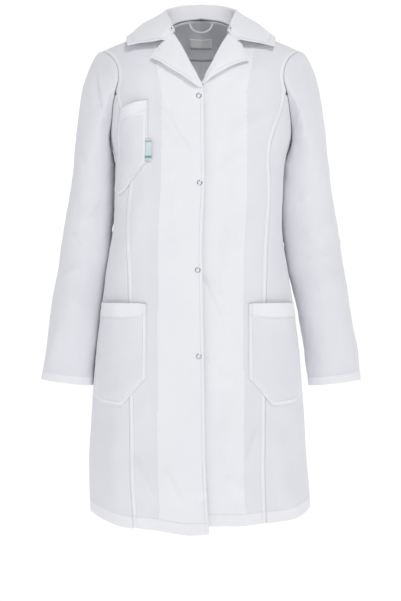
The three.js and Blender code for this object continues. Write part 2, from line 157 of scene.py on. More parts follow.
def front_s(x, z):
    w = np.clip((x - HINGE_X) / (half_width(z) - HINGE_X), 0, 1)
    return np.where(x <= HINGE_X, x / HINGE_X, 1 + np.arcsin(w ** (1 / ROUND)) * 2 / math.pi)


def back_s(x, z):
    return 2 + np.arccos(np.clip(x / half_width(z), 0, 1) ** (1 / ROUND)) * 2 / math.pi


def dip(x, z):
    return UNDERLAP * (1 - smooth((x - 38) / 46)) * (1 - smooth((z - 812) / 50))


def front(side, x, z):
    x, z = np.broadcast_arrays(np.asarray(x, float), np.asarray(z, float))
    p = skin(side, front_s(x, z), z)
    if side > 0:
        p[..., 1] += np.where(x <= HINGE_X, dip(x, z), 0)
    return p


def hem(side, s):
    s = np.asarray(s, float)
    low = 12 if side > 0 else 0
    return np.where(s <= 2, low + (28 - low) * np.abs(s / 2) ** 1.5, 28 - 16 * (s - 2))


def inner_edge(side, z):
    """x of a front's edge: the overlap below the opening, the opening's line above it."""
    return np.where(z < ARCH_Z, -front_edge(z) if side < 0 else -15.0, open_edge[side](z))


def facing_edge(start, z):
    return start + np.where(z > ARCH_Z, (z - ARCH_Z) * 0.18, 0)


# ------------------------------------------------------------------ folds
def stroke(p2, line, amp, width, side=0, ends=0.3):
    """Height of one fold at the points p2 (n, 2): amp along the polyline, fading over width and at its ends."""
    line = np.asarray(line, float)
    seg = np.linalg.norm(np.diff(line, axis=0), axis=1)
    cum = np.concatenate([[0], np.cumsum(seg)])
    total = cum[-1]
    lo, hi = line.min(0) - 3.2 * width, line.max(0) + 3.2 * width
    out = np.zeros(len(p2))
    pick = np.nonzero(np.all((p2 >= lo) & (p2 <= hi), axis=1))[0]
    if not len(pick):
        return out
    q = p2[pick]
    best = np.full(len(q), 1e9)
    sign = np.zeros(len(q))
    where = np.zeros(len(q))
    for i in range(len(seg)):
        a, d = line[i], line[i + 1] - line[i]
        t = np.clip(((q - a) @ d) / max(1e-9, seg[i] ** 2), 0, 1)
        e = q - (a + t[:, None] * d)
        r = np.linalg.norm(e, axis=1)
        near = r < best
        best = np.where(near, r, best)
        sign = np.where(near, np.sign(d[0] * e[:, 1] - d[1] * e[:, 0]), sign)
        where = np.where(near, cum[i] + t * seg[i], where)
    t = where / total
    fade = smooth(t / ends) * smooth((1 - t) / ends)
    if side:  # a step: rises on one side, falls off sharply on the other
        k = np.where(sign * side > 0, np.exp(-(best / (0.32 * width)) ** 2), np.exp(-(best / width) ** 2))
    else:
        k = np.exp(-(best / width) ** 2)
    out[pick] = amp * fade * k
    return out


def waves(p, seed, count, lengths, stretch=(1, 1, 1)):
    """Gentle unevenness: a sum of plane waves of the given lengths, about 1 high."""
    rng = np.random.RandomState(seed)
    out = np.zeros(len(p))
    for _ in range(count):
        d = rng.normal(size=3) * np.asarray(stretch)
        d /= np.linalg.norm(d)
        k = 2 * math.pi / rng.uniform(*lengths)
        out += np.sin(p @ d * k + rng.uniform(0, 2 * math.pi))
    return out / math.sqrt(count)


FOLD_DEPTH = 1.4  # the folds below are raised by this factor
# folds of the front, seen from the front: (x, height) lines, height of the fold, width, step side
FRONT_FOLDS = [
    # the wearer's right chest, under the collar and beside the chest pocket
    ([(-82, 800), (-66, 770), (-40, 722), (-10, 678)], 4.0, 13, 1),
    ([(-150, 872), (-120, 846), (-92, 822)], 2.4, 12, 0),
    ([(-92, 706), (-62, 668), (-30, 650)], 2.2, 14, 0),
    ([(-118, 612), (-110, 560), (-122, 500)], 2.0, 14, 0),
    ([(-142, 700), (-146, 640), (-140, 580)], 3.0, 15, 0),
    ([(-60, 640), (-40, 560), (-34, 470)], 1.8, 16, 0),
    # the wearer's left chest
    ([(120, 866), (92, 838), (60, 812)], 2.4, 13, 0),
    ([(150, 800), (118, 760), (84, 738), (40, 722)], 3.2, 15, 0),
    ([(148, 742), (122, 700), (98, 678)], 2.2, 12, 0),
    ([(142, 672), (128, 632), (112, 590)], 2.6, 13, 0),
    ([(10, 640), (44, 664), (84, 700)], 1.6, 13, 0),
    ([(10, 474), (30, 446), (52, 412)], 2.6, 9, -1),
    ([(9, 482), (36, 420), (60, 362)], 2.2, 11, -1),
    ([(96, 600), (84, 540), (78, 480)], 2.2, 16, 0),
    ([(60, 560), (52, 500), (54, 440)], 1.8, 14, 0),
    ([(12, 330), (34, 300), (60, 262)], 1.8, 11, -1),
    # the skirt
    ([(-118, 150), (-96, 106), (-74, 54)], 3.6, 15, 1),
    ([(-62, 128), (-44, 90), (-28, 50)], 2.8, 13, 1),
    ([(-150, 220), (-154, 120), (-158, 20)], 4.0, 19, 0),
    ([(-104, 330), (-98, 240), (-104, 160)], 1.8, 15, 0),
    ([(112, 205), (98, 160), (80, 112)], 3.0, 14, -1),
    ([(54, 112), (68, 90), (86, 70)], 2.4, 11, 0),
    ([(152, 205), (158, 110), (166, 22)], 4.6, 19, 0),
    ([(60, 240), (52, 150), (44, 40)], 2.6, 20, 0),
    ([(16, 72), (6, 60), (-6, 58)], -1.6, 8, 0),
    ([(30, 420), (36, 330), (30, 240)], 1.4, 17, 0),
]
# folds of the back: x seen from the front, so the wearer's left is +x
BACK_FOLDS = [
    ([(-120, 860), (-104, 780), (-96, 690)], 3.0, 18, 0),
    ([(118, 858), (104, 770), (98, 688)], 3.4, 18, 0),
    ([(-60, 720), (-20, 690), (30, 684), (70, 706)], -2.2, 14, 0),
    ([(-84, 640), (-30, 618), (26, 612), (82, 634)], 2.6, 12, 0),
    ([(-92, 596), (-40, 580), (36, 584), (90, 604)], 2.2, 12, 0),
    ([(-100, 560), (-60, 548), (0, 546)], 1.8, 11, 0),
    ([(-130, 470), (-138, 300), (-150, 30)], 5.0, 24, 0),
    ([(-68, 400), (-72, 240), (-80, 20)], 4.6, 24, 0),
    ([(58, 380), (70, 220), (76, 20)], 4.2, 24, 0),
    ([(128, 460), (140, 280), (152, 30)], 5.0, 24, 0),
    ([(0, 930), (-4, 870), (2, 800)], 1.4, 16, 0),
]


def warp(p):
    """Moves points of the body cloth, and of all that is sewn on it, into the hang of the worn coat."""
    shape = p.shape
    p = p.reshape(-1, 3).astype(float)
    out = p.copy()
    x, y, z = p.T
    is_front = smooth((20 - y) / 60)
    is_back = 1 - is_front
    p2 = np.stack([x, z], 1)
    lift = np.zeros(len(p))
    for line, amp, width, side in FRONT_FOLDS:
        amp = amp * FOLD_DEPTH
        lift += is_front * stroke(p2, line, amp, width, side=side)
    back = np.zeros(len(p))
    for line, amp, width, side in BACK_FOLDS:
        back += is_back * stroke(p2, line, amp, width, side=side)
    # the skirt falls in a few wide flutes, the more the lower
    turn = np.arctan2(x, -y)
    low = smooth((430 - z) / 430)
    calm = 0.35 + 0.65 * smooth((np.abs(x) - 45) / 70)
    flute = low * calm * (3.4 * np.sin(5 * turn + 0.9) + 2.2 * np.sin(9 * turn + 2.1) + 1.4 * np.sin(13 * turn + 0.4))
    uneven = 0.75 * waves(p, 11, 16, (70, 190), (1, 1, 0.7)) + 0.28 * waves(p, 12, 16, (24, 60), (1, 1, 0.8))
    quiet = smooth((1000 - z) / 60)
    total = (lift + back) + flute + uneven * quiet
    radial = np.stack([x / 1.35, y, np.zeros_like(x)], 1)
    radial /= np.maximum(1e-6, np.linalg.norm(radial, axis=1))[:, None]
    at_front = smooth((np.abs(y) - 40) / 50)[:, None]
    flat = np.stack([np.zeros_like(x), np.sign(y), np.zeros_like(x)], 1)
    away = radial * (1 - 0.8 * at_front) + flat * 0.8 * at_front
    away /= np.maximum(1e-6, np.linalg.norm(away, axis=1))[:, None]
    out += away * total[:, None]
    # cloth gathers at the waist beside each arm, more on the wearer's right
    waist = np.exp(-((z - 590) / 105) ** 2) * smooth((np.abs(x) - 55) / 90)
    out[:, 0] += np.where(x < 0, -10.0, 5.0) * waist
    # the wearer stands a little to one side
    out[:, 0] -= 6.5 * smooth((660 - z) / 160) * smooth((z + 60) / 200)
    # a hem is never quite level
    out[:, 2] += low ** 3 * (1.6 * np.sin(4 * turn + 1.0) + 0.9 * np.sin(11 * turn))
    return out.reshape(shape)


# ------------------------------------------------------------------ meshes
def unit(v):
    return v / np.maximum(1e-9, np.linalg.norm(v, axis=-1, keepdims=True))


def grid_normals(p):
    du = np.gradient(p, axis=1)
    dv = np.gradient(p, axis=0)
    return unit(np.cross(du, dv))


def make_mesh(name, verts, faces, material, uv=None, rim=0):
    """A mesh of quads in the row frame. The last `rim` faces are turned edges, shaded apart from the rest."""
    me = bpy.data.meshes.new(name)
    n, k = len(faces), faces.shape[1]
    me.vertices.add(len(verts))
    me.vertices.foreach_set("co", to_m(verts).astype(np.float32).ravel())
    me.loops.add(n * k)
    me.loops.foreach_set("vertex_index", faces.astype(np.int32).ravel())
    me.polygons.add(n)
    me.polygons.foreach_set("loop_start", np.arange(0, n * k, k, dtype=np.int32))
    me.polygons.foreach_set("use_smooth", np.arange(n) < n - rim)
    me.update(calc_edges=True)
    me.validate()
    if uv is not None:
        layer = me.uv_layers.new(name="cut")
        layer.data.foreach_set("uv", uv[faces.ravel()].astype(np.float32).ravel())
    me.materials.append(material)
    o = bpy.data.objects.new(name, me)
    bpy.context.scene.collection.objects.link(o)
    return o


def grid_faces(rows, cols, closed=False):
    i = np.arange(rows - 1)[:, None]
    j = np.arange(cols if closed else cols - 1)[None, :]
    a = i * cols + j
    b = i * cols + (j + 1) % cols
    return np.stack([a, b, b + cols, a + cols], -1).reshape(-1, 4)


def cloth_grid(name, p, material, outward, thick=1.1, closed=False, uv=None):
    """A grid of points as cloth with real thickness: an outer face, an inner face and turned edges."""
    rows, cols = p.shape[:2]
    n = grid_normals(np.concatenate([p[:, -1:], p, p[:, :1]], 1))[:, 1:-1] if closed else grid_normals(p)
    mid = n[rows // 2, cols // 2] @ outward(p[rows // 2, cols // 2])
    sign = 1 if mid > 0 else -1
    n = n * sign
    f = grid_faces(rows, cols, closed)
    if sign < 0:
        f = f[:, ::-1]
    top = p.reshape(-1, 3)
    low = (p - n * thick).reshape(-1, 3)
    m = rows * cols
    parts = [f, f[:, ::-1] + m]
    if closed:
        first, last = np.arange(cols), (rows - 1) * cols + np.arange(cols)
        for ring, flip in ((first, sign < 0), (last, sign > 0)):
            nxt = np.roll(ring, -1)
            e = np.stack([ring, ring + m, nxt + m, nxt], -1)
            parts.append(e[:, ::-1] if flip else e)
    else:
        border = np.concatenate([np.arange(cols), np.arange(1, rows) * cols + cols - 1,
                                 (rows - 1) * cols + np.arange(cols - 2, -1, -1), np.arange(rows - 2, 0, -1) * cols])
        nxt = np.roll(border, -1)
        e = np.stack([border, border + m, nxt + m, nxt], -1)
        parts.append(e[:, ::-1] if sign < 0 else e)
    faces = np.concatenate(parts)
    if uv is None:
        du = np.linalg.norm(np.diff(p, axis=1), axis=-1)
        dv = np.linalg.norm(np.diff(p, axis=0), axis=-1)
        u = np.concatenate([np.zeros((rows, 1)), np.cumsum(du, 1)], 1)
        v = np.concatenate([np.zeros((1, cols)), np.cumsum(dv, 0)], 0)
        u = u - u[:, cols // 2:cols // 2 + 1]
        uv = np.stack([u, v], -1).reshape(-1, 2) / 1000.0
    o = make_mesh(name, np.concatenate([top, low]), faces, material, np.concatenate([uv, uv]),
                  rim=len(faces) - 2 * len(f))
    return o, n


def spread(width, count, left=(), right=()):
    """Column places, 0 to 1, for rows of these widths: some at set distances from each edge, the rest even."""
    width = np.asarray(width, float)[:, None]
    left, right = np.array([0.0, *left]), np.array([0.0, *right])
    room = np.maximum(width, 1e-3)
    kl = np.minimum(1, 0.45 * room / max(left[-1], 1e-6))
    kr = np.minimum(1, 0.45 * room / max(right[-1], 1e-6))
    a = left[None, :] * kl / room
    b = 1 - right[None, ::-1] * kr / room
    mid = np.linspace(0, 1, count + 2)[1:-1][None, :]
    mid = a[:, -1:] + (b[:, :1] - a[:, -1:]) * mid
    return np.concatenate([a, mid, b], 1)


def mark_double(o, cells):
    """The cells (rows, cols) of the grid where two layers lie over each other get the brighter finish."""
    if BAND.name not in [m.name for m in o.data.materials]:
        o.data.materials.append(BAND)
    idx = np.zeros(len(o.data.polygons), np.int32)
    flat_cells = np.asarray(cells).ravel().astype(np.int32)
    idx[:len(flat_cells)] = flat_cells
    o.data.polygons.foreach_set("material_index", idx)


def cell_mean(a, closed=False):
    a = np.asarray(a, float)
    b = np.concatenate([a, a[:, :1]], 1) if closed else a
    return 0.25 * (b[:-1, :-1] + b[1:, :-1] + b[:-1, 1:] + b[1:, 1:])


SEAM = (1.2, 2.2, 4.4, 5.4, 6.0, 6.6, 8.0)  # columns beside a seam stitched 6 mm from its edge
EDGE = (0.8, 2.0, 4.6, 5.5, 6.0, 6.5, 8.0)


def relief(d, at=(6.0,), band=0.0, depth=0.45, seam=0.0):
    """Height of sewn cloth at distance d from its edge: thicker over the allowance, pulled in at each stitch line."""
    d = np.asarray(d, float)
    h = np.zeros_like(d)
    if band:
        h += band * (1 - smooth((d - at[-1] - 0.2) / 1.6))
    for a in at:
        h -= depth * np.exp(-((d - a) / 0.75) ** 2)
    if seam:
        h -= seam * np.exp(-(d / 0.9) ** 2)
    return h


# ------------------------------------------------------------------ materials
class Shader:
    """A material's nodes in short form. A keyword with a capital sets an input (_ for a space), others a setting."""

    def __init__(self, name):
        self.material = bpy.data.materials.new(name)
        self.material.use_nodes = True
        self.tree = self.material.node_tree
        self.tree.nodes.clear()
        out = self.add("OutputMaterial")
        self.surface = self.add("BsdfPrincipled")
        self.link(self.surface.outputs[0], out.inputs[0])

    def link(self, source, target):
        self.tree.links.new(source, target)

    def put(self, n, **values):
        for key, value in values.items():
            if key[0].isupper():
                n.inputs[key.replace("_", " ")].default_value = value
            else:
                setattr(n, key, value)

    def add(self, kind, vector=None, **values):
        n = self.tree.nodes.new("ShaderNode" + kind)
        self.put(n, **values)
        if vector is not None:
            self.link(vector, n.inputs["Vector"])
        return n

    def colour(self, source, *stops):
        """Base colour from a ramp of (position, colour) stops."""
        ramp = self.add("ValToRGB")
        e = ramp.color_ramp.elements
        for i, (at, rgb) in enumerate(stops):
            item = e[i] if i < 2 else e.new(at)
            item.position, item.color = at, (*rgb, 1)
        self.link(source, ramp.inputs[0])
        self.link(ramp.outputs[0], self.surface.inputs["Base Color"])
        return ramp

    def bump(self, height, strength, distance, normal=None):
        n = self.add("Bump", Strength=strength, Distance=distance)
        self.link(height, n.inputs["Height"])
        if normal is not None:
            self.link(normal, n.inputs["Normal"])
        return n.outputs[0]


def cloth_material(name, light, shade, twill=1.0, rough=0.86, sheen=0.25):
    m = Shader(name)
    uv = m.add("UVMap", uv_map="cut").outputs[0]
    obj = m.add("TexCoord").outputs["Object"]
    # slight cloudiness of washed cloth, and single yarns a little lighter or darker than their neighbours
    cloud = m.add("TexNoise", obj, Scale=9.0, Detail=4.0)
    yarn = m.add("Mapping", uv, Scale=(2600.0, 60.0, 1.0))
    slub = m.add("TexNoise", yarn.outputs[0], Scale=1.0, Detail=1.0)
    mix = m.add("Mix", data_type="FLOAT")
    mix.inputs[0].default_value = 0.3
    m.link(cloud.outputs["Fac"], mix.inputs[2])
    m.link(slub.outputs["Fac"], mix.inputs[3])
    m.colour(mix.outputs[0], (0.3, shade), (0.68, light))
    # twill: fine diagonal ribs, broken up by the yarns that cross them
    rib = m.add("Mapping", uv, Rotation=(0, 0, math.radians(62)))
    wave = m.add("TexWave", rib.outputs[0], wave_type="BANDS", bands_direction="X", Scale=620.0, Distortion=0.6,
                 Detail=1.0, Detail_Scale=900.0)
    cross = m.add("TexWave", uv, wave_type="BANDS", bands_direction="Y", Scale=700.0)
    weave = m.add("Math", operation="MULTIPLY")
    m.link(wave.outputs["Fac"], weave.inputs[0])
    m.link(cross.outputs["Fac"], weave.inputs[1])
    ribs = m.bump(weave.outputs[0], 0.28 * twill, 0.00018)
    # small crumples left by wear
    crumple = m.add("TexNoise", obj, Scale=46.0, Detail=5.0, Roughness=0.55)
    m.link(m.bump(crumple.outputs["Fac"], 0.22, 0.0011, ribs), m.surface.inputs["Normal"])
    m.put(m.surface, Roughness=rough, Sheen_Weight=sheen, Sheen_Roughness=0.45, Specular_IOR_Level=0.28)
    return m.material


COAT = cloth_material("coat_twill", (0.875, 0.878, 0.905), (0.835, 0.840, 0.875))
BAND = cloth_material("coat_twill_double", (0.945, 0.945, 0.965), (0.915, 0.917, 0.945))
# painted shade: the coat's twill made darker and bluer for the facings, the back neck facing and the hanger loop
# inside the coat
INNER_PAINTED_SHADE = cloth_material("inner_twill_painted_shade", (0.84, 0.852, 0.885), (0.80, 0.815, 0.855), twill=0.8)
LABEL = cloth_material("label_satin", (0.93, 0.93, 0.92), (0.89, 0.89, 0.88), twill=0.3, rough=0.5, sheen=0.1)


def thread_material():
    m = Shader("sewing_thread")
    ply = m.add("TexWave", m.add("TexCoord").outputs["Object"], bands_direction="DIAGONAL", Scale=900.0)
    m.colour(ply.outputs["Fac"], (0.0, (0.66, 0.68, 0.72)), (1.0, (0.80, 0.82, 0.86)))
    m.link(m.bump(ply.outputs["Fac"], 0.4, 0.0001), m.surface.inputs["Normal"])
    m.put(m.surface, Roughness=0.55, Sheen_Weight=0.2)
    return m.material


def steel_material():
    m = Shader("snap_nickel")
    wear = m.add("TexNoise", m.add("TexCoord").outputs["Object"], Scale=700.0, Detail=6.0).outputs["Fac"]
    m.colour(wear, (0.35, (0.46, 0.47, 0.49)), (0.62, (0.72, 0.73, 0.75)))
    rough = m.add("MapRange", To_Min=0.16, To_Max=0.36)
    m.link(wear, rough.inputs["Value"])
    m.link(rough.outputs[0], m.surface.inputs["Roughness"])
    m.link(m.bump(wear, 0.12, 0.00005), m.surface.inputs["Normal"])
    m.put(m.surface, Metallic=1.0)
    return m.material


def tag_material():
    """A plain woven tag: pale teal with a darker bar near each end and fine woven ribs."""
    m = Shader("woven_tag")
    uv = m.add("UVMap", uv_map="cut").outputs[0]
    split = m.add("SeparateXYZ")
    m.link(uv, split.inputs[0])
    along = m.add("Math", operation="MULTIPLY")
    along.inputs[1].default_value = 1000.0 / 40.0  # the tag is 40 mm long
    m.link(split.outputs["Y"], along.inputs[0])
    ramp = m.colour(along.outputs[0], (0.0, (0.66, 0.80, 0.80)), (0.12, (0.20, 0.42, 0.42)),
                    (0.24, (0.72, 0.84, 0.83)), (0.86, (0.33, 0.55, 0.54)), (0.93, (0.70, 0.82, 0.81)))
    ramp.color_ramp.interpolation = "CONSTANT"
    rib = m.add("TexWave", uv, bands_direction="Y", Scale=500.0)
    m.link(m.bump(rib.outputs["Fac"], 0.5, 0.0002), m.surface.inputs["Normal"])
    m.put(m.surface, Roughness=0.7, Sheen_Weight=0.2)
    return m.material


THREAD, STEEL, TAG = thread_material(), steel_material(), tag_material()

# ------------------------------------------------------------------ how a front turns: its share of the flap's turn
hinge_line = through([(0, 88), (780, 88), (840, 78), (880, 64), (905, 52), (925, 44)])


def flap_share(x_out, z):
    across = smooth((hinge_line(z) + 13 - x_out) / 26)
    return across * (1 - smooth((z - 846) / 62))


def own_weights(obj):
    """Bakes obj's placement into its mesh."""
    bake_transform(obj)


def blend_front(obj, x_out, z):
    w = flap_share(np.asarray(x_out).ravel(), np.asarray(z).ravel())
    w = np.concatenate([w, w]) if len(w) * 2 == len(obj.data.vertices) else w
    own_weights(obj)


# ------------------------------------------------------------------ stitches
class Stitches:
    """Rows of single stitches on the cloth: small rounded bars, one mesh for each group that moves alike."""

    def __init__(self):
        self.groups = {}

    def row(self, key, line, normal, weights=None, pitch=3.1, length=2.3, width=0.62, height=0.34):
        line, normal = np.asarray(line, float), np.asarray(normal, float)
        seg = np.linalg.norm(np.diff(line, axis=0), axis=1)
        cum = np.concatenate([[0], np.cumsum(seg)])
        if cum[-1] < 2 * pitch:
            return
        mids = np.arange(pitch * 0.7, cum[-1] - pitch * 0.5, pitch)

        def at(arr, s):
            return np.stack([np.interp(s, cum, arr[:, k]) for k in range(arr.shape[1])], -1)

        c, n = at(line, mids), unit(at(normal, mids))
        t = unit(at(line, mids + 0.5) - at(line, mids - 0.5))
        s = unit(np.cross(n, t))
        v = []
        for a, w, h in ((-0.5, 0.25, -0.05), (-0.28, 0.5, 0.75), (0.28, 0.5, 0.75), (0.5, 0.25, -0.05)):
            base = c + t * length * a
            v += [base - s * width * w, base + n * height * h * 1.2, base + s * width * w]
        v = np.stack(v, 1)
        k = len(c)
        f = []
        for i in range(3):
            a = 3 * i
            f += [[a, a + 1, a + 4, a + 3], [a + 1, a + 2, a + 5, a + 4], [a + 2, a, a + 3, a + 5]]
        f = np.array(f)[None] + (np.arange(k) * 12)[:, None, None]
        wt = None if weights is None else np.repeat(np.interp(mids, cum, weights), 12)
        g = self.groups.setdefault(key, {"v": [], "f": [], "w": [], "n": 0})
        g["v"].append(v.reshape(-1, 3))
        g["f"].append(f.reshape(-1, 4) + g["n"])
        g["w"].append(np.zeros(k * 12) if wt is None else wt)
        g["n"] += k * 12

    def build(self):
        made = {}
        for key, g in self.groups.items():
            o = make_mesh("stitching_" + key, np.concatenate(g["v"]), np.concatenate(g["f"]), THREAD)
            made[key] = (o, np.concatenate(g["w"]))
        return made


STITCH = Stitches()
SEAM_ROWS = (1.6, 7.6)  # two rows of stitches beside a seam or a pocket's edge, mm from it
HEM_STITCH = 21.4  # the hem's row of stitches, mm above its edge
HEM_DOUBLE = 21.6  # the cloth is double below this
SEAM_DOUBLE = 8  # and within this distance of a stitched seam
STITCH_LIFT = 0.1  # how far stitches stand on the cloth


def seam_stitches(key, w, n, z, dist, target, heights, share=None):
    """A row of stitches down a panel where `dist` is nearest to target, between the two heights."""
    j = np.argmin(np.abs(dist - target), axis=1)
    r = np.arange(len(j))
    ok = (z[r, j] > heights[0]) & (z[r, j] < heights[1])
    r, j = r[ok], j[ok]
    STITCH.row(key, w[r, j] + n[r, j] * STITCH_LIFT, n[r, j], None if share is None else share[r, j])


def hem_stitches(key, w, n, up, share=None):
    j, c = np.argmin(np.abs(up - HEM_STITCH), axis=0), np.arange(w.shape[1])
    STITCH.row(key, w[j, c] + n[j, c] * STITCH_LIFT, n[j, c], None if share is None else share[j, c])


def outward_body(p):
    return np.array([p[0], p[1] * 1.6, 60.0])


def climb(v, share, low, x, end):
    """Height on the way up a panel: even to the lean, then by the angle of the lean."""
    angle = end * np.clip((v - share) / (1 - share), 0, 1)
    up = ARCH_Z + (crest(x) - ARCH_Z) * np.sin(angle) ** (2 / ARCH_POWER)
    return np.where(v <= share, low + (ARCH_Z - low) * np.minimum(1, v / share), up)


HEM_ROWS = np.array([0, 0.8, 2.0, 6, 12, 18, 20.4, 21.2, 21.8, 22.4, 24])


def row_places(total, step, share, arch_rows):
    """Row places 0 to 1 for a panel `total` high up to the lean: close rows at the hem's stitching."""
    low = HEM_ROWS / total
    mid = np.linspace(low[-1], 1, int((total - HEM_ROWS[-1]) / step) + 1)[1:]
    low = np.concatenate([low, mid]) * share
    return np.concatenate([low, share + (1 - share) * np.linspace(0, 1, arch_rows + 1)[1:]])


def sewn(p, h, outward):
    """Moves grid points along their normals by h."""
    n = grid_normals(p)
    r, c = p.shape[:2]
    if n[r // 2, c // 2] @ outward(p[r // 2, c // 2]) < 0:
        n = -n
    return p + n * np.asarray(h)[..., None]


def hem_relief(up):
    return 0.35 * (1 - smooth((up - 21.8) / 1.4)) - 0.5 * np.exp(-((up - HEM_STITCH) / 0.8) ** 2)


SEAM_END = math.pi / 2 - 0.0015
sheets = []


def finish_piece(o, nodes, body=None, rests=None):
    """Ties a piece to what it stands for; `rests` is what a sheet rests on, noted in the list of sheets."""
    if body:
        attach(o, body)
    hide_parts(*nodes)
    if rests:
        sheets.append((o, [rests]))


# ------------------------------------------------------------------ body panels
for side in (-1, 1):
    name = SIDES[side]

    # front: princess seam to front edge, hem to shoulder, one cloth
    v = row_places(805, 4.2, 0.76, 44)
    cols_out = 50
    zz = np.clip(np.interp(v, [0, 0.76, 1], [0, 805, 945]), 0, 945)
    inner_x = inner_edge(side, zz)
    outer_x = np.where(zz < 812, princess(zz), armhole_front(zz))
    U = spread(outer_x - inner_x, cols_out, EDGE, SEAM)
    R, C = U.shape
    V = np.repeat(v[:, None], C, 1)
    X = np.zeros((R, C))
    Z = np.full((R, C), 930.0)
    for _ in range(14):
        top = crest(X)
        low = hem(side, np.clip(X, 0, 200) / 95.0)
        Z = climb(V, 0.76, low, X, SEAM_END)
        xi = inner_edge(side, Z)
        xo = np.where(Z < 812, princess(Z), armhole_front(Z))
        X = xi + (xo - xi) * U
    P = front(side, X, Z)
    up = Z - hem(side, np.clip(X, 0, 200) / 95.0)
    d_in, d_out = np.abs(X - xi), np.abs(xo - X)
    h = hem_relief(up)
    edge_h = relief(d_in, (6.0,), band=0.3 if side < 0 else 0.0, depth=0.42)
    h = h + edge_h * smooth((806 - Z) / 8) * (1 if side < 0 else 0.4)
    h = h + relief(d_out, (1.6, 7.6), band=0.28, depth=0.42, seam=0.8)
    # the front is double as far as the facing's edge, which shows as a soft step
    fe = facing_edge(72 if side < 0 else 84, Z)
    h = h + 0.55 * (1 - smooth((X - fe + 1.5) / 3.0)) * smooth((905 - Z) / 30)
    P = sewn(P, h, outward_body)
    W = warp(P)
    o, N = cloth_grid(f"{name}_front_cloth", W, COAT, outward_body, 0.9)
    finish_piece(o, [f"{name}_front_panel", f"{name}_front_flap", f"{name}_front_chest"],
                 rests="wearer_shoulders")
    # the front is double over the facing, the hem and the seam allowance
    mark_double(o, (cell_mean(fe - X) > 0) & (cell_mean(Z) < 930) | (cell_mean(up) < HEM_DOUBLE)
                | (cell_mean(d_out) < SEAM_DOUBLE))
    blend_front(o, X, Z)
    share = flap_share(X, Z)
    key = f"{name}_front"
    if side < 0:
        seam_stitches(key, W, N, Z, d_in, 6.0, (2, 804), share)
    for row in SEAM_ROWS:
        seam_stitches(key, W, N, Z, d_out, row, (4, 806), share)
    hem_stitches(key, W, N, up, share)

    # facing behind the front
    v = np.linspace(0.003, 1, 120)
    u = np.linspace(0, 1, 26)
    Vf, Uf = np.meshgrid(v, u, indexing="ij")
    wide = 74 if side < 0 else 84
    Zf = hem(side, Uf * 0.8) + (905 - hem(side, Uf * 0.8)) * Vf
    xi = inner_edge(side, Zf) + 0.4
    xo = np.maximum(xi + 24, facing_edge(wide, Zf))
    Xf = xi + (xo - xi) * Uf
    Pf = sewn(front(side, Xf, Zf), np.full(Xf.shape, -1.5), outward_body)
    o, _ = cloth_grid(f"{name}_facing_cloth", warp(Pf), INNER_PAINTED_SHADE, outward_body, 0.7)
    finish_piece(o, [f"{name}_facing"], rests=f"{name}_front_cloth")
    blend_front(o, Xf, Zf)

    # side front, between the princess seam and the side seam
    v = row_places(790, 4.6, 1.0, 0)
    v = v[v <= 1.0]
    zr = 12 + v * (808 - 12)
    s_in = front_s(princess(zr), zr)
    s_out = np.where(zr <= 735, 2.0, front_s(armhole_front(zr), zr))
    width = np.linalg.norm(skin(side, s_in, zr) - skin(side, s_out, zr), axis=1) * 1.15
    U = spread(width, 24, SEAM, (1.0, 2.4, 6))
    C = U.shape[1]
    s0 = float(front_s(princess(0), 0))
    low = hem(side, s0 + (2 - s0) * U)
    Z = low + (808 - low) * v[:, None]
    si = front_s(princess(Z), Z)
    so = np.where(Z <= 735, 2.0, front_s(armhole_front(Z), Z))
    S = si + (so - si) * U
    P = skin(side, S, Z)
    up = Z - low
    d_in = U * width[:, None]
    P = sewn(P, hem_relief(up) + relief(d_in, (), seam=0.8) + relief((1 - U) * width[:, None], (), seam=0.5),
             outward_body)
    W = warp(P)
    o, N = cloth_grid(f"{name}_side_front_cloth", W, COAT, outward_body, 0.9)
    mark_double(o, cell_mean(up) < HEM_DOUBLE)
    finish_piece(o, [f"{name}_side_front"], "coat_body", rests="wearer_shoulders")
    hem_stitches("body", W, N, up)

    # back: side panel
    v = row_places(790, 4.8, 0.78, 40)
    zr = np.interp(v, [0, 0.78, 1], [20, 805, 925])
    s_out = np.where(zr <= 735, 2.0, back_s(armhole_back(zr), zr))
    s_in = back_s(back_princess(zr), zr)
    width = np.linalg.norm(skin(side, s_in, zr) - skin(side, s_out, zr), axis=1) * 1.12
    U = spread(width, 26, (1.0, 2.4, 6), SEAM)
    V = np.repeat(v[:, None], U.shape[1], 1)
    X = np.full(U.shape, 150.0)
    for _ in range(14):
        low = hem(side, 2 + 0.6 * U)
        Z = climb(V, 0.78, low, X, SEAM_END)
        so = np.where(Z <= 735, 2.0, back_s(armhole_back(Z), Z))
        si = back_s(back_princess(Z), Z)
        S = so + (si - so) * U
        P = skin(side, S, Z)
        X = np.abs(P[..., 0])
    up = Z - low
    d_in = (1 - U) * width[:, None]
    P = sewn(P, hem_relief(up) + relief(d_in, (), seam=0.8) + relief(U * width[:, None], (), seam=0.5), outward_body)
    W = warp(P)
    o, N = cloth_grid(f"{name}_side_back_cloth", W, COAT, outward_body, 0.9)
    mark_double(o, cell_mean(up) < HEM_DOUBLE)
    finish_piece(o, [f"{name}_side_back"], "coat_body", rests="wearer_shoulders")
    hem_stitches("body", W, N, up)

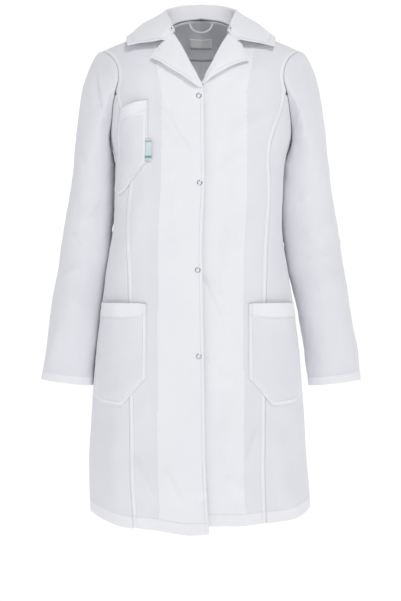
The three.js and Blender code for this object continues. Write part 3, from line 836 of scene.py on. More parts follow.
    # back: middle panel, from the back princess seam to the middle seam
    zr = np.interp(v, [0, 0.78, 1], [14, 805, 965])
    width = back_princess(zr)
    U = spread(width, 26, SEAM, SEAM)
    V = np.repeat(v[:, None], U.shape[1], 1)
    X = (1 - U) * 110
    for _ in range(10):
        at = np.minimum(X, NECK_X)
        end = np.minimum(SEAM_END, np.arcsin(np.clip((neck_back(at) - ARCH_Z) / (crest(at) - ARCH_Z), 0, 1)
                                             ** (ARCH_POWER / 2)))
        low = hem(side, 2.6 + 0.4 * U)
        Z = climb(V, 0.78, low, X, end)
        X = back_princess(Z) * (1 - U)
    P = skin(side, back_s(X, Z), Z)
    up = Z - low
    d_out, d_mid = back_princess(Z) - X, X
    P = sewn(P, hem_relief(up) + relief(d_out, (1.6, 7.6), band=0.28, depth=0.42, seam=0.8)
             + relief(d_mid, (), seam=0.8), outward_body)
    W = warp(P)
    o, N = cloth_grid(f"{name}_back_cloth", W, COAT, outward_body, 0.9)
    mark_double(o, (cell_mean(up) < HEM_DOUBLE) | (cell_mean(d_out) < SEAM_DOUBLE))
    finish_piece(o, [f"{name}_back"], "coat_body", rests="wearer_shoulders")
    hem_stitches("body", W, N, up)
    for row in SEAM_ROWS:
        seam_stitches("body", W, N, Z, d_out, row, (4, 935))
    if side > 0:  # the vent's edge is stitched down beside the middle seam
        seam_stitches("body", W, N, Z, d_mid, 6.0, (20, 330))

# vent underlay
v, u = np.meshgrid(np.linspace(16, 330, 60), np.linspace(-6, 34, 12), indexing="ij")
P = skin(1, back_s(np.abs(u), v), v)
P[..., 0] = u
P = sewn(P, np.full(u.shape, -2.0), outward_body)
o, _ = cloth_grid("vent_underlay_cloth", warp(P), COAT, outward_body, 0.9)
finish_piece(o, ["vent_underlay"], "coat_body", rests="left_back_cloth")

# ------------------------------------------------------------------ lapels: folded out along the opening's edge
LAPEL = {-1: ([(0, 1, 809.5), (0.12, 20, 822), (0.28, 38, 835), (0.44, 57, 846), (0.6, 75, 859), (0.75, 92.5, 867),
               (1, 67, 899)], 812),
         1: ([(0, 4.5, 818.5), (0.15, 20, 832), (0.32, 35, 841), (0.48, 53, 850), (0.62, 71, 857), (0.75, 89, 862),
              (1, 71, 896)], 821)}
ROLL = 2.0  # radius of the rolled edge


def surface_normal(surface, x, z):
    h = 1.5
    du = surface(x + h, z) - surface(x - h, z)
    dv = surface(x, z + h) - surface(x, z - h)
    n = unit(np.cross(du, dv))
    flip = np.sign((n * np.array([0, -1.0, 0.35])).sum(-1, keepdims=True))
    return n * np.where(flip == 0, 1, flip)


for side in (-1, 1):
    name = SIDES[side]
    outline, z_low = LAPEL[side]
    rows_v = np.unique(np.concatenate([np.linspace(0, 1, 70), 0.75 + np.array([-0.012, -0.004, 0.004, 0.012])]))
    knots = np.array(outline, float)
    ox, oz = np.interp(rows_v, knots[:, 0], knots[:, 1]), np.interp(rows_v, knots[:, 0], knots[:, 2])
    z0 = z_low + (917 - z_low) * rows_v
    x0 = open_edge[side](z0)
    rx, rz = x0, z0
    L = np.hypot(ox - rx, oz - rz)
    roll = np.linspace(-80, 90, 10) * math.pi / 180
    flat = spread(np.maximum(L - 1.2, 1), 26, (1.0, 2.5), EDGE)
    C = len(roll) - 1 + flat.shape[1]
    ends = smooth(L / 14)[:, None]  # the lapel runs out to nothing at its foot
    along_roll = (0.5 - ROLL * np.cos(roll))[None, :] * ends + 0 * L[:, None]
    up_roll = (1.3 + ROLL * np.sin(roll))[None, :] * ends + 0.2
    a_flat = 0.5 + (L[:, None] - 0.5) * flat[:, 1:]
    far = flat[:, 1:]
    up_flat = (1.3 + ROLL) * ends + 0.2
    up_flat = up_flat + 3.0 * np.sin(math.pi * np.minimum(1, far * 1.1)) * ends + 4.2 * far ** 1.5 * ends
    A = np.concatenate([along_roll, a_flat], 1)
    H = np.concatenate([up_roll, up_flat], 1)
    dx, dz = ((ox - rx) / np.maximum(L, 1e-6))[:, None], ((oz - rz) / np.maximum(L, 1e-6))[:, None]
    X, Z = rx[:, None] + dx * A, rz[:, None] + dz * A
    edge_d = np.minimum(L[:, None] - A, 60)
    H = H + relief(edge_d, (5.5,), band=0.0, depth=0.4) * smooth(L / 30)[:, None]
    n = surface_normal(lambda x, z, side=side: front(side, x, z), X, Z)
    P = front(side, X, Z) + n * H[..., None]
    W = warp(P)
    o, N = cloth_grid(f"{name}_lapel_cloth", W, BAND, lambda p: np.array([0, -1.0, 0.4]), 0.9)
    finish_piece(o, [f"{name}_lapel"], rests=f"{name}_front_cloth")
    blend_front(o, np.maximum(X, x0[:, None]), Z)
    share = flap_share(np.maximum(X, x0[:, None]), Z)
    r = np.arange(len(rows_v))
    j = np.argmin(np.abs(edge_d - 5.5), axis=1)
    ok = (L > 16) & (rows_v < 0.985)
    STITCH.row(f"{name}_front", (W[r, j] + N[r, j] * STITCH_LIFT)[ok], N[r, j][ok], share[r, j][ok])


# ------------------------------------------------------------------ collar
def rail(points, n=241):
    """Smooth line through the points, evenly spaced."""
    p = np.array(points, float)
    k = np.concatenate([[0], np.cumsum(np.sqrt(np.linalg.norm(np.diff(p, axis=0), axis=1)))])
    f = [through(list(zip(k, p[:, i]))) for i in range(3)]
    t = np.linspace(0, k[-1], 2001)
    q = np.stack([g(t) for g in f], -1)
    d = np.concatenate([[0], np.cumsum(np.linalg.norm(np.diff(q, axis=0), axis=1))])
    s = np.linspace(0, d[-1], n)
    return np.stack([np.interp(s, d, q[:, i]) for i in range(3)], -1)


def rail_at(line, h):
    s = np.linspace(0, 1, len(line))
    return np.stack([np.interp(h, s, line[:, i]) for i in range(3)], -1)


foot = rail([(48, -84, 921), (57, -68, 935), (66, -42, 947), (73, 3, 953), (64, 20, 960), (40, 36, 976),
             (0, 45, 984.5)])
fold = rail([(52, -94, 926), (57, -72, 946), (65, -40, 968), (70, 2, 988), (63, 30, 1000), (38, 54, 1013),
             (0, 63, 1018)])
leaf = rail([(136, -84, 894), (139, -68, 905), (140, -24, 929), (134, 20, 939), (104, 52, 942), (56, 68, 948),
             (0, 76, 952)])
bend = rail([(69, -103, 904), (92, -74, 928), (108, -32, 950), (108, 14, 964), (84, 44, 973), (48, 63, 984),
             (0, 72, 990)])

half = np.concatenate([np.array([0, 0.6, 1.8, 4.6, 5.5, 6.0, 6.5, 8.5]) / 270, np.linspace(0.04, 1, 74)])
h_row = np.concatenate([half, half[::-1][1:]])
side_row = np.concatenate([-np.ones(len(half)), np.ones(len(half) - 1)])
v_col = np.unique(np.concatenate([np.linspace(0, 0.28, 12), np.linspace(0.28, 0.44, 12), np.linspace(0.44, 0.90, 26),
                                  1 - np.array([0, 0.8, 2.2, 4.8, 5.5, 6.0, 6.5, 8.5]) / 88]))
a, b, c, d = (rail_at(r, h_row) for r in (foot, fold, bend, leaf))
out = unit(b * np.array([1, 1, 0]))
rise = np.minimum(1, h_row * 6 + 0.25)[:, None]
drop = np.array([0, 0, -1.0])
near, far = b - out * 3.4 * rise + drop * 3.2 * rise, b + out * 3.6 * rise + drop * 3.4 * rise
ctrl = np.stack([a, near, b, far, c, d], 1)
at_v = np.array([0, 0.28, 0.36, 0.44, 0.68, 1.0])
P = np.empty((len(h_row), len(v_col), 3))
for i in range(len(h_row)):
    for k in range(3):
        P[i, :, k] = through(list(zip(at_v, ctrl[i, :, k])))(v_col)
P[..., 0] *= side_row[:, None]
mid_i = len(half) - 1
# the leaf has spring in it: it stands a little away from the shoulder between its ends
dist_leaf = (1 - v_col)[None, :] * 88
dist_end = (h_row * 270)[:, None]
dist = np.minimum(dist_leaf, dist_end + 40 * (v_col[None, :] < 0.44))


def away_collar(p):
    return np.array([p[0], p[1], 40.0])


n_c = grid_normals(P)
sgn = np.sign((n_c[20, -12] * away_collar(P[20, -12])).sum())
n_c *= sgn
soft = 0.9 * waves(P.reshape(-1, 3), 31, 14, (45, 110)).reshape(P.shape[:2]) * smooth((v_col - 0.4) / 0.4)[None, :]
puff = 1.8 * np.exp(-((v_col - 0.72) / 0.16) ** 2)[None, :]
# the front end is sewn to the lapel as far as the notch
sewn_end = (1 - smooth(dist_end / 16)) * (1 - smooth((v_col - 0.64) / 0.07))[None, :]
sewn_end = sewn_end * smooth((v_col - 0.30) / 0.06)[None, :]
spring = 3.6 * smooth((v_col - 0.62) / 0.38)[None, :] * (1 - smooth(dist_end / 150))
P = P + n_c * (1.0 + relief(dist, (6.0,), depth=0.5) + soft + puff + spring - 5.4 * sewn_end)[..., None]
o, N = cloth_grid("collar_cloth", P, BAND, away_collar, 2.0)
finish_piece(o, ["upper_collar", "under_collar"], "coat_body", rests="wearer_shoulders")
j = int(np.argmin(np.abs(dist_leaf[0] - 6.0)))
rows = (h_row * 270 > 6.0)
STITCH.row("body", (P[:, j] + N[:, j] * STITCH_LIFT)[rows], N[:, j][rows])
first_end, last_end = np.argmin(np.abs(h_row[:mid_i] * 270 - 6.0)), np.argmin(np.abs(half * 270 - 6.0))
for i in (int(first_end), len(h_row) - 1 - int(last_end)):
    cols = (v_col > 0.46) & (v_col < 1 - 6.0 / 88)
    STITCH.row("body", (P[i] + N[i] * STITCH_LIFT)[cols], N[i][cols])

# ------------------------------------------------------------------ sleeves
middle = through([(265, 258), (335, 249.5), (403, 243), (472, 234.5), (555, 225), (628, 214.5), (690, 208)])
wide_at = through([(265, 50.5), (335, 49), (403, 47), (472, 44.5), (555, 42.5), (628, 40.5), (690, 39.5)])
deep_at = through([(265, 38), (335, 43), (403, 47), (472, 51), (555, 54), (628, 58), (690, 62)])
forward = through([(265, -16), (403, -8), (555, 4), (690, 4)])
CUFF_Z, JOIN_Z, HEAD_Z, ELBOW_Z, ELBOW_REACH = 265, 640, 690, 545, 62


def limb(side, k, z):
    a = 2 * math.pi * k
    x = middle(z) - wide_at(z) * np.cos(a)
    return np.stack([side * x, forward(z) - deep_at(z) * np.sin(a), z + 0.12 * (x - middle(z))], -1)


def hole(side, k):
    q = np.where(k < 0.5, 2 * k, 2 - 2 * k)
    z = 735 + (907 - 735) * (1 - np.cos(math.pi * q)) / 2
    sf = np.where(z <= 735, 2.0, front_s(armhole_front(z), z))
    sb = np.where(z <= 735, 2.0, back_s(armhole_back(z), z))
    p = np.where((k < 0.5)[..., None], skin(side, sf, z), skin(side, sb, z))
    low = 1 - smooth(q / 0.4)
    return p + np.stack([side * (0.3 + 1.8 * low), 0 * low, 0.2 - 0.5 * low], -1)


# folds of the sleeves seen from the front: lines of (x away from the body, height)
SLEEVE_FOLDS = {
    -1: [([(194, 874), (190, 826), (181, 780), (176, 748)], 3.4, 9, 1),
         ([(204, 862), (207, 820), (204, 776)], 3.0, 9, 0),
         ([(216, 856), (224, 812), (226, 770)], 2.2, 11, 0),
         ([(184, 735), (202, 700), (222, 672)], 2.6, 12, 0),
         ([(232, 740), (214, 688), (190, 660)], 2.6, 12, 1),
         ([(236, 640), (224, 600), (196, 576)], 2.6, 12, 0),
         ([(190, 620), (208, 590), (238, 560)], 2.4, 11, -1),
         ([(246, 556), (226, 530), (200, 520)], 3.0, 10, 1),
         ([(204, 500), (226, 486), (262, 470)], 2.4, 11, 0),
         ([(270, 452), (246, 420), (216, 408)], 2.4, 12, 1),
         ([(232, 390), (240, 340), (236, 300)], 2.4, 13, 0),
         ([(276, 380), (278, 340), (286, 296)], 2.0, 12, 0)],
    1: [([(196, 870), (193, 820), (187, 778), (178, 746)], 3.4, 9, -1),
        ([(206, 866), (205, 820), (202, 776), (190, 740)], 3.2, 9, 0),
        ([(220, 850), (226, 800), (224, 760), (212, 712), (196, 660)], 3.0, 11, 1),
        ([(200, 762), (188, 742), (176, 724)], 2.4, 9, 0),
        ([(224, 640), (204, 618), (186, 606)], 2.6, 11, 1),
        ([(240, 700), (228, 660), (206, 630)], 2.0, 12, 0),
        ([(192, 556), (214, 542), (246, 536)], 3.0, 10, 0),
        ([(250, 580), (232, 560), (204, 552)], 2.2, 10, 0),
        ([(196, 496), (222, 504), (252, 500)], 2.8, 10, -1),
        ([(262, 474), (238, 452), (210, 446)], 2.2, 12, 0),
        ([(232, 420), (240, 370), (234, 310)], 2.4, 14, 0),
        ([(272, 400), (280, 340), (292, 290)], 2.0, 12, 0)],
}


def sleeve_height(side, p, k):
    """Folds of a sleeve at the points p, with k round it (0 inner, 0.25 front, 0.5 outer, 0.75 back)."""
    flat = p.reshape(-1, 3)
    kk = np.broadcast_to(k, p.shape[:2]).reshape(-1)
    x, z = np.abs(flat[:, 0]), flat[:, 2]
    on_front = smooth((np.sin(2 * math.pi * kk) + 0.35) / 0.7)
    h = np.zeros(len(flat))
    p2 = np.stack([x, z], 1)
    for line, amp, width, edge in SLEEVE_FOLDS[side]:
        h += on_front * stroke(p2, line, amp, width, side=edge)
    # behind: cross folds at the elbow and long ones below the shoulder
    turn = 2 * math.pi * kk
    behind = 1 - on_front
    bow = 10 * np.sin(turn * 1.0 + 0.6 * side)
    elbow = np.exp(-((z - 548 - bow) / 34) ** 2)
    h += behind * elbow * 2.6 * np.sin((z - 540 - bow) / 5.4 + 0.8 * side)
    h += behind * 2.0 * np.sin(3 * turn + z / 60 + side) * smooth((760 - z) / 200) * 0.7
    low = smooth((520 - z) / 200) * smooth((z - 272) / 30)
    h += low * 1.3 * np.sin(4 * turn + z / 45 + 2 * side)
    h += 0.6 * waves(flat, 50 + side, 16, (40, 110)) + 0.25 * waves(flat, 60 + side, 16, (16, 40))
    return h.reshape(p.shape[:2])


# how far the inner side of each sleeve lies over towards the body, by height
LEAN_IN = {-1: through([(400, 0), (440, 3), (500, 9), (560, 8), (628, 4), (700, 2), (735, 0)]),
           1: through([(330, 0), (403, 8), (450, 13), (500, 21), (555, 24), (628, 18), (690, 8), (735, 0)])}


def toward_body(side, p, k):
    move = np.zeros(p.shape)
    move[..., 0] = -side * LEAN_IN[side](p[..., 2]) * ((1 + np.cos(2 * math.pi * k)) / 2)
    return move


def ring_normals(p):
    q = np.concatenate([p[:, -1:], p, p[:, :1]], 1)
    n = grid_normals(q)[:, 1:-1]
    centre = p.mean(1, keepdims=True)
    s = np.sign(((p - centre) * n).sum(-1)).sum()
    return n * (1 if s >= 0 else -1)


def sleeve_away(side):
    return lambda p: np.array([p[0] - side * float(middle(min(p[2], 690))), p[1], 0])


AROUND = 144
CUFF_DOUBLE = 16  # the cuff is double below this height
JOIN_ROW = 0.2  # a row this close to the join keeps the turned edge from tilting the shading beside it
CUFF_ROWS = CUFF_Z + np.array([20, 17.4, 16.4, 15.8, 15.2, 14, 9, 4, 1.4, 0.4, 0])
k = np.arange(AROUND) / AROUND
for side in (-1, 1):
    name = SIDES[side]
    # head and upper sleeve
    t = np.concatenate([np.array([0, 0.008, 0.02, 0.04, 0.07]), np.linspace(0.1, 1, 44)])
    a = hole(side, k)
    b = limb(side, k, np.full(AROUND, HEAD_Z + 0.0))
    top = (1 - np.cos(2 * math.pi * k)) / 2
    c = np.stack([a[:, 0] + side * (1 + 39 * top), a[:, 1] + (b[:, 1] - a[:, 1]) * 0.3, a[:, 2] - (22 - 6 * top)], -1)
    w = t[:, None, None]
    head = a * (1 - w) ** 2 + 2 * c * w * (1 - w) + b * w * w
    zs = np.concatenate([np.linspace(HEAD_Z, JOIN_Z, 15)[1:-1], [JOIN_Z + JOIN_ROW, JOIN_Z]])
    arm = np.stack([limb(side, k, np.full(AROUND, z)) for z in zs])
    P = np.concatenate([head, arm])
    part = np.concatenate([t * 0.72, 0.72 + 0.28 * np.minimum(1, (HEAD_Z - zs) / (HEAD_Z - JOIN_Z - 12))])[:, None]
    P = P + toward_body(side, P, k[None, :])
    n = ring_normals(P)
    from_seam = np.concatenate([t * 190, 190 + HEAD_Z - zs])[:, None] * np.ones((1, AROUND))
    start = smooth(from_seam / 16)
    ease = 1.3 * start * np.exp(-(from_seam / 40) ** 2) * smooth(top[None, :] / 0.5)
    h = sleeve_height(side, P, k[None, :]) * start + ease + 0.3
    h = h - 0.7 * np.exp(-(from_seam / 2.2) ** 2)
    follow = warp(P) - P
    P = P + n * h[..., None] + follow * (1 - smooth(from_seam / 130))[..., None]
    o, N = cloth_grid(f"{name}_upper_sleeve_cloth", P, COAT, sleeve_away(side), 0.9, closed=True)
    finish_piece(o, [f"{name}_sleeve_head", f"{name}_sleeve_upper"], rests=f"{name}_front_cloth")
    own_weights(o)
    last = P[-1]

    # lower sleeve down to the turned cuff
    zs = np.concatenate([[JOIN_Z, JOIN_Z - JOIN_ROW], np.linspace(JOIN_Z, CUFF_Z + 24, 112)[1:], CUFF_ROWS])
    P = np.stack([limb(side, k, np.full(AROUND, z)) for z in zs])
    P = P + toward_body(side, P, k[None, :])
    n = ring_normals(P)
    h = sleeve_height(side, P, k[None, :]) + 0.3
    up = (zs - CUFF_Z)[:, None]
    h = h * (1 - 0.5 * (1 - smooth(up / 40)))
    h = h + 0.35 * (1 - smooth((up - 16.2) / 1.6)) - 0.5 * np.exp(-((up - 15.6) / 0.8) ** 2)
    seam_k = np.minimum(np.abs(k - 0.93), 1 - np.abs(k - 0.93))[None, :] * 270
    h = h - 0.8 * np.exp(-(seam_k / 1.3) ** 2)
    P = P + n * h[..., None]
    # the first ring is the upper part's last one, and the next rings run into it
    gap = last - P[0]
    P = P + gap[None] * (1 - smooth((JOIN_Z - zs) / 30))[:, None, None]
    thick = 0.9 + 0.9 * (1 - smooth((up - 15.8) / 1.2)) * np.ones((1, AROUND))
    o, N = cloth_grid(f"{name}_lower_sleeve_cloth", P, COAT, sleeve_away(side), thick[..., None], closed=True)
    mark_double(o, cell_mean(up + 0 * P[..., 0], True) < CUFF_DOUBLE)
    finish_piece(o, [f"{name}_sleeve_elbow", f"{name}_sleeve_lower"], rests=f"{name}_upper_sleeve_cloth")
    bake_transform(o)
    i = int(np.argmin(np.abs(zs - CUFF_Z - 15.8)))
    ring = np.concatenate([P[i], P[i, :1]])
    rn = np.concatenate([N[i], N[i, :1]])
    STITCH.row(f"{name}_cuff", ring + rn * STITCH_LIFT, rn)


# ------------------------------------------------------------------ pockets
def edge_distance(p, lines):
    """Distance of the points p (rows, cols, 3) from polylines in the same space."""
    q = p.reshape(-1, 3)
    best = np.full(len(q), 1e9)
    for line in lines:
        for a, b in zip(line[:-1], line[1:]):
            d = b - a
            t = np.clip(((q - a) @ d) / max(1e-9, d @ d), 0, 1)
            best = np.minimum(best, np.linalg.norm(q - (a + t[:, None] * d), axis=1))
    return best.reshape(p.shape[:2])


def pocket(name, side, inner, outer_at, top_at, bottom_knots, gape, lift, mouth_hem=25.0):
    bx, bz = np.array(bottom_knots, float).T
    fine = np.array([0, 0.7, 1.6, 2.3, 4.5, 6.8, 7.6, 8.4, 10])
    width, tall = 170.0, 165.0
    u = np.unique(np.concatenate([fine / width, np.linspace(0.075, 0.925, 52), 1 - fine / width]))
    hem_rows = np.array([0, 1, 2.5, 8, 16, 22, 24.2, 25.0, 25.8, 28])
    v = np.unique(np.concatenate([fine / tall, np.linspace(0.075, 0.82, 40), 1 - hem_rows / tall]))
    V, U = np.meshgrid(v, u, indexing="ij")
    low = np.interp(U, bx, bz)
    # soften the corners of the bottom line
    low = (np.interp(np.clip(U - 0.03, 0, 1), bx, bz) + 2 * low + np.interp(np.clip(U + 0.03, 0, 1), bx, bz)) / 4
    top = top_at(U)
    Z = low + (top - low) * V

    def place(U, Z):
        s0 = front_s(np.full_like(Z, inner), Z)
        return skin(side, s0 + (outer_at(Z) - s0) * U, Z)

    base = place(U, Z)
    n = grid_normals(base)
    if n[5, 20] @ outward_body(base[5, 20]) < 0:
        n = -n
    rows, cols = Z.shape
    sides_d = edge_distance(base, [base[:, 0], base[0], base[:, -1]])
    sag = gape * np.sin(math.pi * U) ** 0.8 * np.exp(-((top - Z) / 38.0) ** 1.3)
    puff = 2.4 * np.sin(math.pi * np.clip(U, 0, 1)) ** 0.8 * smooth(sides_d / 26) * (1 - V * 0.5)
    wrinkle = 0.7 * waves(base.reshape(-1, 3), 70 + side + int(top_at(0.0)) % 7, 14, (30, 90)).reshape(Z.shape)
    h = lift + sag + puff + wrinkle * smooth(sides_d / 12)
    h = h + relief(sides_d, (1.6, 7.6), band=0.3, depth=0.5)
    down = top - Z
    h = h + 0.4 * (1 - smooth((down - mouth_hem - 0.2) / 1.4)) - 0.5 * np.exp(-((down - mouth_hem) / 0.8) ** 2)
    W = warp(base + n * h[..., None])
    thick = 0.9 + 0.0 * Z
    o, N = cloth_grid(f"{name}_cloth", W, COAT, outward_body, thick[..., None])
    mark_double(o, (cell_mean(sides_d) < SEAM_DOUBLE) | (cell_mean(down) < mouth_hem))
    finish_piece(o, [name], "coat_body", rests=f"{SIDES[side]}_front_cloth")
    # rows of stitches: two round the sides and bottom, one across below the mouth
    for inset in SEAM_ROWS:
        iu = inset / width
        left = int(np.argmin(np.abs(u - iu)))
        right = int(np.argmin(np.abs(u - (1 - iu))))
        base_r = int(np.argmin(np.abs(v - inset / tall)))
        path = [(i, left) for i in range(rows - 1, base_r, -1)] + [(base_r, c) for c in range(left, right)]
        path += [(i, right) for i in range(base_r, rows)]
        ii, jj = np.array(path).T
        STITCH.row("body", W[ii, jj] + N[ii, jj] * STITCH_LIFT, N[ii, jj])
    i = int(np.argmin(np.abs((1 - v) * tall - mouth_hem)))
    STITCH.row("body", W[i] + N[i] * STITCH_LIFT, N[i])
    # bar tacks at the mouth's two corners
    for jc in (range(0, 9), range(cols - 9, cols)):
        jc = np.array(list(jc))
        for up_by in (1, 2):
            i = rows - up_by
            STITCH.row("body", W[i, jc] + N[i, jc] * 0.15, N[i, jc], pitch=0.9, length=1.1, width=0.5)
    return o


pocket("chest_pocket", -1, 97.0, lambda z: 1.76 + (1.46 - 1.76) * np.clip((z - 630) / 146, 0, 1),
       lambda u: 790 - 13 * np.asarray(u, float), [(0, 676), (0.5, 625), (0.74, 618), (1, 632)], 6.0, 1.3)
for side in (-1, 1):
    pocket(f"{SIDES[side]}_hip_pocket", side, 93.0, lambda z: 1.8 + 0 * z, lambda u: 417 + 0 * np.asarray(u, float),
           [(0, 281), (0.3, 229), (0.7, 232), (1, 244)], 7.0, 1.2)

# the small woven tag sewn into the chest pocket's inner edge
V, U = np.meshgrid(np.linspace(0, 1, 24), np.linspace(0, 1, 8), indexing="ij")
Z = 677 + 40 * V
P = skin(-1, front_s(89.5 + 10.5 * U, Z), Z)
n = grid_normals(P)
n *= np.sign(n[0, 0] @ outward_body(P[0, 0]))
W = warp(P + n * (2.6 + 0.9 * np.sin(math.pi * U) + 0.2 * np.sin(9 * V))[..., None])
uv = np.stack([U * 10.5, V * 40], -1).reshape(-1, 2) / 1000
o, N = cloth_grid("pocket_tag_cloth", W, TAG, outward_body, 0.5, uv=uv)
finish_piece(o, ["pocket_tag"], "coat_body", rests="chest_pocket_cloth")


# ------------------------------------------------------------------ inside the back of the neck
def inside_back(x, z, off):
    x, z = np.broadcast_arrays(np.asarray(x, float), np.asarray(z, float))
    p = skin(1, back_s(np.abs(x), z), z)
    p[..., 0] = x
    n = unit(np.stack([x * 0.2, np.full_like(x, 60.0), 0 * x], -1))
    return p - n * np.asarray(off)[..., None]


u, v = np.linspace(-73, 73, 60), np.linspace(0, 1, 22)
V, U = np.meshgrid(v, u, indexing="ij")
top = neck_back(U) - 1.5
Z = 912 + (top - 912) * V
P = warp(inside_back(U, Z, 2.2 + 0 * U))
# the back neck facing wears the painted-shade copy of the coat's twill
o, _ = cloth_grid("back_neck_facing_cloth", P, INNER_PAINTED_SHADE, lambda p: np.array([0, -1.0, 0]), 0.8)
finish_piece(o, ["back_neck_facing"], "coat_body", rests="left_back_cloth")
V, U = np.meshgrid(np.linspace(934, 950, 10), np.linspace(-22, 22, 24), indexing="ij")
edge = np.minimum(np.minimum(V - 934, 950 - V), 22 - np.abs(U))
P = warp(inside_back(U, V, 4.2 - 0.3 * np.exp(-((edge - 1.2) / 0.6) ** 2)))
o, N = cloth_grid("neck_label_cloth", P, LABEL, lambda p: np.array([0, -1.0, 0]), 0.4)
finish_piece(o, ["neck_label"], "coat_body", rests="back_neck_facing_cloth")
V, U = np.meshgrid(np.linspace(0, 1, 6), np.linspace(0, math.pi, 48), indexing="ij")
r = 20 + 4 * V
P = np.stack([r * np.cos(U), 41.5 + 0.5 * np.sin(2 * U), 974 - r * 0.8 * np.sin(U)], -1)
o, N = cloth_grid("hanger_loop_cloth", P, INNER_PAINTED_SHADE, lambda p: np.array([0, -1.0, 0]), 0.9)
finish_piece(o, ["hanger_loop"], "loop", rests="left_back_cloth")

# ------------------------------------------------------------------ ring snaps
SNAP_PARTS = {
    "cap_ring": ("right_flap", [(3.2, 0.35), (3.05, 0.75), (3.25, 1.15), (3.8, 1.5), (4.4, 1.52), (4.95, 1.25),
                                (5.25, 0.8), (5.3, 0.4), (5.1, 0.25), (3.4, 0.25)]),
    "socket": ("right_flap", [(2.2, -4.4), (2.35, -4.5), (4.3, -4.5), (4.6, -4.35), (4.75, -3.6), (4.9, -3.3),
                              (4.9, -2.95), (4.75, -2.85), (2.35, -2.85), (2.2, -3.0)]),
    "stud": ("left_flap", [(0.7, -5.9), (0.75, -5.95), (4.5, -5.95), (4.7, -5.85), (4.7, -5.5), (4.4, -5.35),
                           (2.2, -5.3), (1.75, -5.0), (1.7, -4.4), (1.85, -3.8), (1.6, -3.45), (0.9, -3.4),
                           (0.7, -3.6)]),
    "back_ring": ("left_flap", [(3.1, -9.1), (3.05, -9.6), (3.4, -10.1), (4.1, -10.4), (4.8, -10.1), (5.2, -9.7),
                                (5.3, -9.3), (5.15, -9.05), (3.3, -9.05)]),
}
TURNS = 56
for i, (sx, sz) in enumerate(SNAPS):
    local = np.array([[sx, sz], [sx + 6, sz], [sx - 6, sz], [sx, sz + 6], [sx, sz - 6]], float)
    pts = warp(front(-1, -local[:, 0], local[:, 1]).astype(float))
    c = pts[0]
    n = unit(np.cross(pts[1] - pts[2], pts[3] - pts[4]))
    n = n if n[1] < 0 else -n
    e1 = unit(np.cross(n, np.array([0, 0, 1.0])))
    e2 = np.cross(n, e1)
    ang = np.arange(TURNS) * 2 * math.pi / TURNS
    for part, (body, profile) in SNAP_PARTS.items():
        prof = np.array(profile)
        verts = (c + prof[:, 0][:, None, None] * (np.cos(ang)[None, :, None] * e1 + np.sin(ang)[None, :, None] * e2)
                 + prof[:, 1][:, None, None] * n).reshape(-1, 3)
        m = len(prof)
        ii, jj = np.arange(m)[:, None], np.arange(TURNS)[None, :]
        f = np.stack([ii * TURNS + jj, ii * TURNS + (jj + 1) % TURNS, ((ii + 1) % m) * TURNS + (jj + 1) % TURNS,
                      ((ii + 1) % m) * TURNS + jj], -1).reshape(-1, 4)
        o = make_mesh(f"snap_{i + 1}_{part}_steel", verts, f, STEEL)
        finish_piece(o, [f"snap_{i + 1}_{part}"], body)

# ------------------------------------------------------------------ stitching rows
for key, (o, weights) in STITCH.build().items():
    if key == "body":
        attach(o, "coat_body")
    elif key.endswith("cuff"):
        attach(o, key.replace("_cuff", "_forearm"))
    else:
        side = -1 if key.startswith("right") else 1
        own_weights(o)


# ------------------------------------------------------------------ what each sheet was cut to
def cut_size(o):
    """Width, length and area of the flat piece that the cloth was cut to, from its own lines."""
    uv = np.zeros(len(o.data.loops) * 2)
    o.data.uv_layers["cut"].data.foreach_get("uv", uv)
    uv = uv.reshape(-1, 2)
    size = uv.max(0) - uv.min(0)
    area = sum(p.area for p in o.data.polygons) / 2
    w, l = round(float(size[0]) + 0.0005, 3), round(float(size[1]) + 0.0005, 3)
    w, l = max(w, 0.0105), max(l, 0.0105)
    return (w, l), round(float(min(w * l, max(0.3 * w * l, area))), 6)


for o, rests in sheets:
    size, area = cut_size(o)

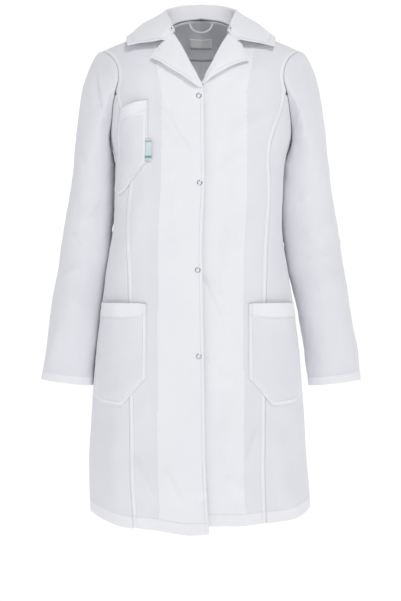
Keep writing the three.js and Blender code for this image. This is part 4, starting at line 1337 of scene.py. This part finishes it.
# ------------------------------------------------------------------ stage, light and camera
floor_z = CAD_BOX[0][2] - 0.34
stage = Shader("paper_backdrop")
tex = stage.add("TexNoise", Scale=3.0)
stage.colour(tex.outputs["Fac"], (0.0, (0.955, 0.957, 0.962)), (1.0, (0.975, 0.977, 0.982)))
# the paper gives a little light of its own, so that it reads as white
stage.put(stage.surface, Roughness=0.95, Emission_Color=(1, 1, 1, 1), Emission_Strength=0.42)
profile = [(-6.0, floor_z), (3.2, floor_z)]
profile += [(3.2 + 1.6 * math.sin(t), floor_z + 1.6 - 1.6 * math.cos(t)) for t in np.linspace(0, math.pi / 2, 24)[1:]]
profile += [(4.8, 7.0)]
verts = np.array([(x, y, z) for y, z in profile for x in (-9.0, 9.0)]) * 1000 + np.array([0, 0, NECK_Z])
faces = np.array([[2 * i, 2 * i + 1, 2 * i + 3, 2 * i + 2] for i in range(len(profile) - 1)])
floor = make_mesh("backdrop", verts, faces, stage.material)


def area_light(name, at, target, size, power, color=(1, 1, 1)):
    data = bpy.data.lights.new(name, "AREA")
    data.shape = "RECTANGLE"
    data.size, data.size_y = size
    data.energy = power
    data.color = color
    o = bpy.data.objects.new(name, data)
    bpy.context.scene.collection.objects.link(o)
    o.location = at
    o.rotation_euler = (Vector(target) - Vector(at)).to_track_quat("-Z", "Y").to_euler()
    return o


middle_z = -0.45
area_light("key", (0.9, -2.5, 2.2), (0, 0, middle_z), (1.0, 0.7), 41)
area_light("fill", (-2.6, -1.6, 0.3), (0, 0, middle_z), (1.2, 2.0), 5.5, (0.97, 0.98, 1))
area_light("top", (0.2, 0.3, 2.4), (0, 0, middle_z), (2.6, 2.6), 4)
world = bpy.data.worlds.new("studio")
world.use_nodes = True
world.node_tree.nodes["Background"].inputs[0].default_value = (0.96, 0.965, 1.0, 1)
world.node_tree.nodes["Background"].inputs[1].default_value = 0.41
bpy.context.scene.world = world
bpy.context.scene.view_settings.view_transform = "Standard"

cam_data = bpy.data.cameras.new("camera")
cam_data.sensor_width = 36
cam_data.lens = 56.8
cam = bpy.data.objects.new("camera", cam_data)
cam.location = (-0.001, -1.85, 0.422 - 0.95)
cam.rotation_euler = (math.pi / 2, 0, 0)
bpy.context.scene.collection.objects.link(cam)
bpy.context.scene.camera = cam
